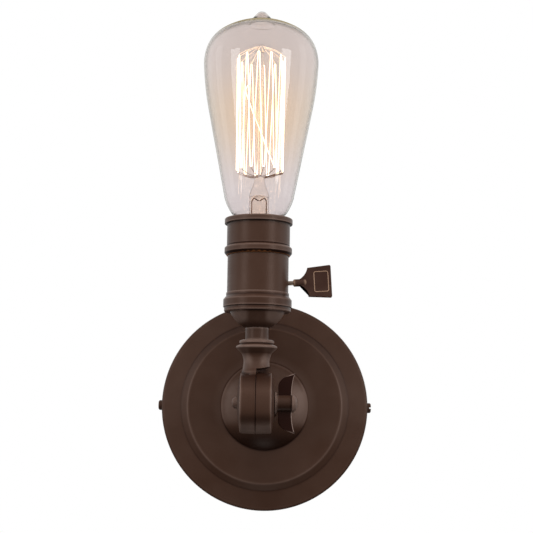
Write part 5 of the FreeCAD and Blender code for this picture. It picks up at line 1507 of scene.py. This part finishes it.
@dataclass
class TurnKey:
    """Switch key: a thin brass shaft, and a flat flared paddle with a raised line round its bare face."""

    shaft_r: float = 1.2
    shaft_from: float = -7.4
    shaft_in: float = 6.0
    start: float = 19.55
    collar_r: float = 2.05
    collar_l: float = 3.8
    collar_foot_r: float = 1.6
    collar_foot_l: float = 0.5
    collar_end: float = 1.2
    root: Range = (0.6, 1.3)
    flare_l: float = 4.3
    flare_bow: float = 0.75
    paddle_l: float = 12.9
    inner_w: float = 16.0
    outer_w: float = 18.2
    thickness: float = 2.8
    edge: float = 0.45
    face_tone: float = -0.1
    corner_r: float = 0.9
    line_w: float = 0.5
    line_raise: float = 0.25
    line_from_outer: float = 1.5
    line_size: Range = (8.2, 11.6)
    line_corner_r: float = 1.0
    line_sides: int = 8

    def shaft(self) -> None:
        """Brass shaft from the rotor to the key."""
        marks = box(0, self.shaft_r, self.shaft_from, self.start + self.shaft_in)
        place_turned("key_shaft_drawn", marks, KEY_AXIS, 40, Body.KEY, "key_shaft", Finishes.worn_brass)

    def paddle(self) -> None:
        """Paddle with its hollow flare and rounded outer corners, and the round collar under it."""
        start, r, end = self.start, self.collar_r, self.start + self.collar_l
        inner, outer = end + self.flare_l, end + self.flare_l + self.paddle_l
        half_in, half_out, (root_a, root_b) = self.inner_w / 2, self.outer_w / 2, self.root
        run = math.hypot(self.flare_l, half_in - r)
        via_a = (end + inner) / 2 + self.flare_bow * (half_in - r) / run
        via_b = (r + half_in) / 2 - self.flare_bow * self.flare_l / run
        outline = trace([
            Corner(start + root_a, -root_b), Corner(end, -r), Via(via_a, -via_b), Corner(inner, -half_in),
            Corner(outer, -half_out, self.corner_r), Corner(outer, half_out, self.corner_r),
            Corner(inner, half_in), Via(via_a, via_b), Corner(end, r), Corner(start + root_a, root_b)], edge=0.4)
        mesh = slab("paddle", outline, KEY_FACE, self.thickness, self.edge)
        mark_slab(mesh, KEY_FACE, self.thickness, self.face_tone, Fade(outer, outer + self.edge))
        place_piece("key_paddle_flat", mesh, Finishes.key_bronze, Body.KEY, "key_paddle")
        collar = [
            Corner(0, start), Corner(self.collar_foot_r, start, 0.3), Corner(r, start + self.collar_foot_l, 0.3),
            Corner(r, inner - self.collar_end, self.collar_end), Corner(0.0, inner)]
        place_turned("key_collar", collar, KEY_AXIS, 56, Body.KEY, "key_paddle", Finishes.key_bronze)

    def raised_line(self) -> None:
        """Raised line round the paddle's middle, on both faces: a round wire half sunk in the face."""
        half = self.line_w / 2
        outer = self.start + self.collar_l + self.flare_l + self.paddle_l - self.line_from_outer
        low, high, b = outer - self.line_size[0] + half, outer - half, self.line_size[1] / 2 - half
        loop = trace(box(low, high, -b, b), self.line_corner_r).points
        count, sides, normal = len(loop), self.line_sides, outward(loop)
        angle, parts = circle(sides), []
        for face in (-1, 1):
            wide = loop[:, None] + normal[:, None] * np.cos(angle)[None, :, None] * half
            lift = face * (self.thickness / 2) + np.sin(angle) * self.line_raise
            grid = np.concatenate([wide, np.broadcast_to(lift[None, :, None], (count, sides, 1))], -1)
            parts.append((grid.reshape(-1, 3), grid_faces(count, sides, True, True)))
        mesh = joined("line", parts, KEY_FACE)
        flat = np.ones(len(mesh.vertices))
        write_marks(mesh, flat, 0 * flat, np.zeros((len(flat), 3)))
        place_piece("key_raised_line", mesh, Finishes.key_bronze, Body.KEY, "key_paddle")

    def build(self) -> None:
        """Shaft, paddle and the rotor inside."""
        self.shaft()
        self.paddle()
        self.raised_line()
        softened(Body.KEY, ("switch_rotor", Finishes.phenolic, 0.2))


@dataclass
class FilamentBulb:
    """Tapered clear bulb with a drawn tip, its screw base and the socket's screw shell, stem, wires and strand."""

    width: float = 64.6
    top: float = 215.0
    widest: float = 190.0
    wall: float = 0.8
    neck_r: float = 12.5
    neck_low: float = 95.42
    neck_end: float = 100.32
    tip_r: float = 7.5
    tip_h: float = 5.7
    tip_flat_r: float = 0.31
    shoulder_r: float = 18.5
    from_side: float = 18.9
    from_top: float = 22.5

    # Points up the taper, in order: shares of its climb and of its widening
    taper_shares: Marks = (
        Via(0.0245, 0.041), Corner(0.0435, 0.126), Via(0.0856, 0.24), Corner(0.1415, 0.338), Corner(0.69, 0.828),
        Via(0.849, 0.944))
    # Points of the drawn tip, outside and inside: shares of its radius and of its height
    tip_shares: Marks = (Via(0.66, 0.4), Corner(0.34, 0.86), Via(0.19, 0.97))
    hollow_shares: Marks = (Via(0.58, 0.29), Corner(0.26, 0.73), Via(0.14, 0.81), Corner(0, 0.84))

    pitch: float = 3.629
    base_low: float = 82.9
    base_top: float = 100.22
    crest_r: float = 13.1
    ridge: float = 0.7
    ridge_power: float = 0.8
    thread_start: float = 0.8
    thread_turns: float = 4.1
    thread_fade: float = 1.4
    thread_row: float = 0.26
    thread_steps: int = 120
    base_sheet: float = 0.35
    shell_root: float = 13.8
    shell_sheet: float = 0.4
    shell_ends: Range = (74.0, 96.8)
    foot_marks: Marks = (
        Corner(0, 79.3), Corner(4.7, 79.3, 0.2), Corner(10.4, 81.6, 0.8), Corner(12.4, 82.9, 0.2), Corner(0, 82.9))
    contact_marks: Marks = (Corner(0, 78.0), Corner(3.3, 78.0, 0.9), Corner(4.7, 79.3), Corner(0, 79.3))

    stem_r: float = 5.4
    stem_wall: float = 0.8
    stem_shoulder: float = 115.0
    flare_marks: Marks = (Corner(10.4, 0), Corner(11.2, 0), Via(7.4, 2.6), Corner(5.4, 6.2))
    inner_flare: Marks = (Corner(4.6, 7.0), Via(6.6, 3.0))
    waist_r: float = 2.95
    waist: float = 122.0
    press_r: float = 2.6
    press_top: float = 126.2
    rod_r: float = 1.3
    rod_top: float = 199.2
    bead_r: float = 2.4
    bead_marks: Marks = (Corner(1.3, -2.0), Via(2.4, 0), Corner(0.5, 2.34), Corner(0, 2.34))

    runs: int = 12
    cage_top_r: float = 13.5
    cage_top: float = 193.6
    cage_low_r: float = 13.0
    cage_low: float = 128.6
    cage_turn_deg: float = 10.0
    low_bend: float = 0.08
    high_bend: float = 0.06
    last_run: float = 0.3
    strand_r: float = 0.2
    strand_bow: float = 0.45
    slipped: tuple[Triple, ...] = (
        (-6.6, -9.0, 180.5), (-5.8, -9.0, 177.0), (-8.6, -9.2, 172.5), (-4.2, -9.6, 160.0), (0.5, -10.2, 148.3),
        (4.4, -11.2, 138.0))
    slipped_from: float = 7.5
    slipped_to: float = 10.0
    slipped_bow: float = 1.6

    wire_r: float = 0.17
    wire_sides: int = 6
    wire_bow: float = 0.7
    fan_foot_share: float = 0.7
    fan_foot: float = 0.8
    fan_over: float = 0.5
    hook_foot_r: float = 0.45
    hook_foot: float = 0.8
    hook_under: float = 0.4

    # Bends of a lead wire inside the stem: how far aside, and how far below the stem's shoulder
    lead_r: float = 0.35
    lead_bends: tuple[Range, ...] = ((4.1, -3.4), (3.0, -1.4), (0.5, -3.0))
    lead_bow: float = 1.0
    lead_root: Range = (3.2, -0.8)
    lead_sag: float = 0.6
    lead_end: float = 0.8
    lead_knee: float = 3.0

    def crown(self, inset: float) -> list[Mark]:
        """Three arcs that touch each other over the widest ring: side, shoulder and top."""
        side_r, rise, shoulder_r = self.width / 2, self.top - self.widest, self.shoulder_r
        x, h = side_r - self.from_side, rise - self.from_top
        side = (self.from_side ** 2 + h ** 2 - shoulder_r ** 2) / (2 * (self.from_side - shoulder_r))
        top = (self.from_top ** 2 + x ** 2 - shoulder_r ** 2) / (2 * (self.from_top - shoulder_r))
        side_turn, top_turn = math.atan2(h, x - side_r + side), math.atan2(h - rise + top, x)
        tip_turn = math.acos(self.tip_r / top)

        def at(arc: Triple, turn: float) -> Range:
            centre_x, centre_h, radius = arc
            reach = radius - inset
            return centre_x + reach * math.cos(turn), self.widest + centre_h + reach * math.sin(turn)

        side_arc, shoulder_arc, top_arc = (side_r - side, 0.0, side), (x, h, shoulder_r), (0.0, rise - top, top)
        return [
            Corner(*at(side_arc, 0.0)), Via(*at(side_arc, side_turn / 2)), Corner(*at(shoulder_arc, side_turn)),
            Via(*at(shoulder_arc, (side_turn + top_turn) / 2)), Corner(*at(shoulder_arc, top_turn)),
            Via(*at(top_arc, (top_turn + tip_turn) / 2)), Corner(*at(top_arc, tip_turn))]

    def taper(self, inset: float) -> list[Mark]:
        """From the neck in the base up a straight flare to just under the widest ring."""
        neck = self.neck_r - inset
        widen, climb = self.width / 2 - self.neck_r, self.widest - self.neck_end
        return [Corner(neck, self.neck_low), Corner(neck, self.neck_end)] + [
            type(m)(neck + widen * m.b, self.neck_end + climb * m.a) for m in self.taper_shares]

    def tip(self, shares: Marks) -> list[Mark]:
        """Points of the drawn tip from shares of its radius and height."""
        return [type(m)(self.tip_r * m.a, self.top + self.tip_h * m.b) for m in shares]

    def envelope(self) -> None:
        """Outer wall with its drawn tip and inner wall, which runs up into the tip, as one section."""
        end = self.top + self.tip_h
        outer = self.taper(0.0) + self.crown(0.0) + self.tip(self.tip_shares)
        inner = self.taper(self.wall) + self.crown(self.wall) + self.tip(self.hollow_shares)
        marks = outer + [Corner(self.tip_flat_r, end), Corner(0, end)] + inner[::-1]
        mesh = place_turned("bulb_envelope", marks, HEAD, 192, Body.BULB, "bulb_glass", Finishes.glass, 0.05)
        smooth(mesh, 60)

    def thread(self, name: str, root: float, sheet: float, low: float, high: float) -> Mesh:
        """Thin tube with a rounded thread: r = root + ridge ((1 + cos 2 pi (h / pitch - t)) / 2) ^ ridge_power.

        The thread fades over its start and its end.

        Args:
            name: name of the mesh.
            root: radius between the ridges, in mm.
            sheet: thickness of the sheet, in mm.
            low, high: heights of its ends, in mm.
        Returns:
            the closed mesh.
        """
        rows = int((high - low) / self.thread_row)
        h, angle = np.linspace(low, high, rows)[:, None], circle(self.thread_steps)[None]
        up = h - self.base_low
        wave = (1 + np.cos(TURN * up / self.pitch - angle)) / 2
        start, end = self.thread_start, self.thread_turns * self.pitch
        fade = Fade(start, start + self.thread_fade)(up) * Fade(-end, self.thread_fade - end)(-up)
        r = root + self.ridge * wave ** self.ridge_power * fade
        grid = np.concatenate([around(r, h, angle), around(r - sheet, h, angle)[::-1]]).reshape(-1, 3)
        return new_mesh(name, HEAD.to_frame(grid), grid_faces(2 * rows, self.thread_steps, True, True))

    def base(self) -> None:
        """Screw base, black glass foot, solder contact, and the socket's own screw shell."""
        base = self.thread("base", self.crest_r - self.ridge, self.base_sheet, self.base_low, self.base_top)
        place_piece("bulb_base_thread", base, Finishes.brass, Body.BULB, "bulb_screw_base")
        shell = self.thread("shell", self.shell_root, self.shell_sheet, *self.shell_ends)
        place_piece("socket_screw_thread", shell, Finishes.brass, Body.HEAD, "screw_shell")
        place_turned("bulb_foot_glass", self.foot_marks, HEAD, 96, Body.BULB_FOOT, "bulb_base_insulator",
                     Finishes.black_glass)
        place_turned("bulb_foot_solder", self.contact_marks, HEAD, 64, Body.BULB_FOOT, "bulb_base_contact",
                     Finishes.solder)

    def stem(self) -> None:
        """Flared glass tube from the neck, pinched shut at the press, with the rod and its bead on top."""
        inner_r, inner_top = self.stem_r - self.stem_wall, self.stem_shoulder - self.stem_wall
        marks = [
            *raised(self.flare_marks, self.neck_low), Corner(self.stem_r, self.stem_shoulder, 1.6),
            Corner(self.waist_r, self.waist, 5.0), Corner(self.press_r, self.press_top - 0.6, 0.8),
            Corner(self.rod_r, self.press_top, 0.4), *raised(self.bead_marks, self.rod_top),
            Corner(0, self.stem_shoulder - self.stem_wall / 2), Corner(inner_r, inner_top, 1.0),
            *raised(self.inner_flare, self.neck_low)]
        place_turned("bulb_stem_glass", marks, HEAD, 72, Body.BULB, "bulb_stem", Finishes.stem_glass, 0.1)

    def ring_point(self, k: Array | float, radius: float, height: float) -> Array:
        """k-th of the cage's places about the bulb's axis, or a row for each k."""
        angle = TURN * np.asarray(k, float) / self.runs + math.radians(self.cage_turn_deg)
        return around(radius, height, angle)

    def cage_point(self, k: Array | float, high: bool) -> Array:
        """k-th place of the cage's top or bottom ring."""
        ring = (self.cage_top_r, self.cage_top) if high else (self.cage_low_r, self.cage_low)
        return self.ring_point(k, *ring)

    def strand_corners(self) -> Array:
        """Corners of the strand: down and up the cage in turn, once round, with two to the bend round each hook."""
        k, low, high = np.arange(self.runs)[:, None], self.low_bend, self.high_bend
        bends = [self.cage_point(k + (-low, low), False), self.cage_point(k + (0.5 - high, 0.5 + high), True)]
        whole = np.concatenate(bends, 1).reshape(-1, 3)[1:]
        return np.vstack([whole, self.cage_point(self.runs - self.last_run, False)])

    def strand(self) -> None:
        """The lit strand, bowed round each hook, and one run that has slipped across the cage and curled."""
        path = rounded_path(self.strand_corners(), self.strand_bow)
        ends = self.cage_point(self.slipped_from, True), self.cage_point(self.slipped_to, False)
        loose = rounded_path(np.vstack([ends[0], self.slipped, ends[1]]), self.slipped_bow)
        parts = [tube(path, self.strand_r, path * (1, 1, 0)), tube(loose, self.strand_r, (0.0, 1.0, 0.0))]
        place_piece("lit_strand_runs", joined("strand", parts, HEAD), Finishes.strand, Body.BULB, "bulb_filament")

    def hook(self, foot: Array, tip: Array) -> Solid:
        """One support wire from the rod out to the strand's bend, bowed a little towards its tip."""
        t = np.linspace(0, 1, 9)[:, None]
        bow = np.array([0, 0, math.copysign(self.wire_bow, foot[2] - tip[2])])
        path = foot + (tip - foot) * t + bow * 4 * t * (1 - t)
        return tube(path, self.wire_r, np.cross(tip - foot, (0, 0, 1)), self.wire_sides)

    def supports(self) -> None:
        """Fan of wires from the bead at the top, and the ring of hooks round the press."""
        fan_r, hook_r = self.bead_r * self.fan_foot_share, self.press_r + self.hook_foot_r
        over, under = np.array([0, 0, self.fan_over]), np.array([0, 0, self.hook_under])
        fan = [self.hook(self.ring_point(k + 0.5, fan_r, self.rod_top + self.fan_foot),
                         self.cage_point(k + 0.5, True) + over) for k in range(self.runs)]
        ring = [self.hook(self.ring_point(k, hook_r, self.press_top - self.hook_foot),
                          self.cage_point(k, False) - under) for k in range(1, self.runs)]
        # The fan's finish paints the lit strand's light on it
        place_piece("strand_fan", joined("fan", fan, HEAD), Finishes.wire, Body.BULB, "bulb_supports")
        place_piece("strand_hooks", joined("hooks", ring, HEAD), Finishes.lead, Body.BULB, "bulb_supports")

    def leads(self) -> None:
        """Two lead wires inside the stem's tube, and their ends from the press to the strand."""
        parts = []
        for end, side in zip(self.strand_corners()[[0, -1]], (1, -1)):
            bends = [(side * aside, 0, self.stem_shoulder + up) for aside, up in self.lead_bends]
            path = rounded_path([(side * self.lead_bends[0][0], 0, self.neck_low), *bends], self.lead_bow)
            parts.append(tube(path, self.lead_r, (0.0, 1.0, 0.0)))
            out = unit(end * (1, 1, 0))
            root = out * self.lead_root[0] + np.array([0, 0, self.press_top + self.lead_root[1]])
            knee = (root + end) / 2 - np.array([0, 0, self.lead_sag])
            path = rounded_path([root, knee, end - np.array([0, 0, self.lead_end])], self.lead_knee)
            parts.append(tube(path, self.lead_r, np.cross(out, (0, 0, 1))))
        place_piece("strand_leads", joined("leads", parts, HEAD), Finishes.lead, Body.BULB, "bulb_lead_wires")

    def build(self) -> None:
        """Glass, base, stem, wires and strand."""
        self.envelope()
        self.base()
        self.stem()
        self.strand()
        self.supports()
        self.leads()


# Studio

@dataclass(frozen=True)
class SoftLight:
    """A rectangular light that faces the lamp head: its middle and its width and height in metres, and its watts."""

    name: str
    at: Triple
    size: Range
    watts: float
    gloss: bool = True
    aim: Triple = (0.0, -0.05, 0.08)

    def hang(self) -> None:
        """Hangs the light. Glass never shows it, and gloss only where it says so."""
        data = bpy.data.lights.new(self.name, "AREA")
        data.shape = "RECTANGLE"
        data.size, data.size_y = self.size
        data.energy = self.watts
        light = linked(self.name, data)
        light.visible_glossy = self.gloss
        light.visible_transmission = False
        light.matrix_world = looking(Vector(self.at), Vector(self.aim))


def looking(eye: Vector, target: Vector) -> Matrix:
    """The matrix of a thing that stands at one point and looks at another, both in metres, with its top up."""
    return Matrix.Translation(eye) @ (target - eye).to_track_quat("-Z", "Y").to_matrix().to_4x4()


@dataclass
class Studio:
    """Plain pale floor, tall soft lights at both sides and one overhead, white surroundings, and the camera."""

    eye: Triple = (7.48, -760.0, -24.69)
    target: Triple = (0.42, -60.0, 75.0)
    focal_px: float = 1282.6
    image_px: float = 533.0
    roll_deg: float = 0.87
    sensor_mm: float = 36.0
    clip_m: float = 0.01
    lights: tuple[SoftLight, ...] = (
        SoftLight("left_soft_light", (-1.03, -0.9, 0.24), (0.45, 0.62), 2.9),
        SoftLight("right_soft_light", (1.03, -0.9, 0.24), (0.45, 0.62), 3.8),
        SoftLight("left_edge_light", (-1.4, 0.0, 0.3), (0.4, 1.2), 0.8),
        SoftLight("right_edge_light", (1.4, 0.0, 0.3), (0.4, 1.2), 0.8),
        SoftLight("top_soft_light", (0.0, -0.9, 1.0), (0.9, 0.7), 11.5, gloss=False))

    # The surroundings by direction: from and to, then the levels there
    from_front: tuple[Range, Range] = ((-0.9, 0.3), (0.2, 1.0))
    from_below: tuple[Range, Range] = ((-0.55, 0.3), (0.06, 1.0))
    from_above: tuple[Range, Range] = ((0.4, 0.95), (1.0, 0.5))
    fill: Range = (1.1, 0.2)
    floor_h: float = -2200.0
    floor_half: float = 450.0
    mottle_mm: float = 60.0
    floor_tones: tuple[str, str] = ("ececea", "f1f1ef")

    def camera(self) -> None:
        """The camera looks along the line from its place to the target and is turned by the roll about it."""
        data = bpy.data.cameras.new("camera")
        data.sensor_width = self.sensor_mm
        data.lens = self.focal_px / self.image_px * self.sensor_mm
        data.clip_start = self.clip_m
        camera = linked("camera", data)
        turn = Matrix.Rotation(math.radians(self.roll_deg), 4, "Z")
        camera.matrix_world = looking(Vector(self.eye) * MM, Vector(self.target) * MM) @ turn
        bpy.context.scene.camera = camera

    def surroundings(self) -> None:
        """White to the camera and through glass, softly darker from the front in gloss, and grey as a light."""
        world = bpy.data.worlds.new("surroundings")
        bpy.context.scene.world = world
        world.use_nodes = True
        tree = world.node_tree
        tree.nodes.clear()

        def glow(strength: Wire | float) -> Wire:
            return add(tree, "ShaderNodeBackground", {"Color": (1, 1, 1, 1), "Strength": strength}).outputs[0]

        def chosen(share: Wire, first: Wire, second: Wire) -> Wire:
            return add(tree, "ShaderNodeMixShader", {0: share, 1: first, 2: second}).outputs[0]

        ray = add(tree, "ShaderNodeLightPath").outputs
        way = add(tree, "ShaderNodeTexCoord").outputs["Generated"]
        back, up = [add(tree, "ShaderNodeSeparateXYZ", {0: way}).outputs[axis] for axis in "YZ"]
        below, above = [spread(tree, up, *levels, smooth=True) for levels in (self.from_below, self.from_above)]
        level = worked(tree, "MULTIPLY", below, above)
        soft = worked(tree, "MULTIPLY", spread(tree, back, *self.from_front, smooth=True), level)
        plain = worked(tree, "MULTIPLY_ADD", level, *self.fill)
        seen = worked(tree, "MAXIMUM", ray["Is Camera Ray"], ray["Is Transmission Ray"])
        unseen = chosen(ray["Is Glossy Ray"], glow(plain), glow(soft))
        add(tree, "ShaderNodeOutputWorld", {"Surface": chosen(seen, unseen, glow(1.0))})

    def floor(self) -> None:
        """Matt pale floor well below the head's lowest reach, with a faint mottle."""
        half = self.floor_half
        grid = np.array([[-half, -half, 0], [half, -half, 0], [half, half, 0], [-half, half, 0]])
        mesh = bpy.data.meshes.new("floor")
        mesh.from_pydata((grid + (0, 0, self.floor_h)) * MM, [], [(0, 1, 2, 3)])
        material, tree = blank_material("matt_paper_floor")
        # Paper is never one flat tone
        colour = blend(tree, noise(tree, object_mm(tree), self.mottle_mm), *self.floor_tones)
        shown(tree, skin(tree, Base_Color=colour, Roughness=0.9))
        mesh.materials.append(material)
        floor = linked("floor", mesh)

    def build(self) -> None:
        """Camera, lights, surroundings and floor."""
        bpy.context.scene.view_settings.view_transform = "Standard"
        self.camera()
        for light in self.lights:
            light.hang()
        self.surroundings()
        self.floor()


def main() -> None:
    """Builds the object and the studio."""
    logging.basicConfig(level=logging.INFO, format="%(name)s: %(message)s")
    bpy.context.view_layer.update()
    Studio().build()
    for assembly in (WallPlate(), Knuckle(), WingNut(), Socket(), TurnKey(), FilamentBulb()):
        assembly.build()


if __name__ == "__main__":
    main()
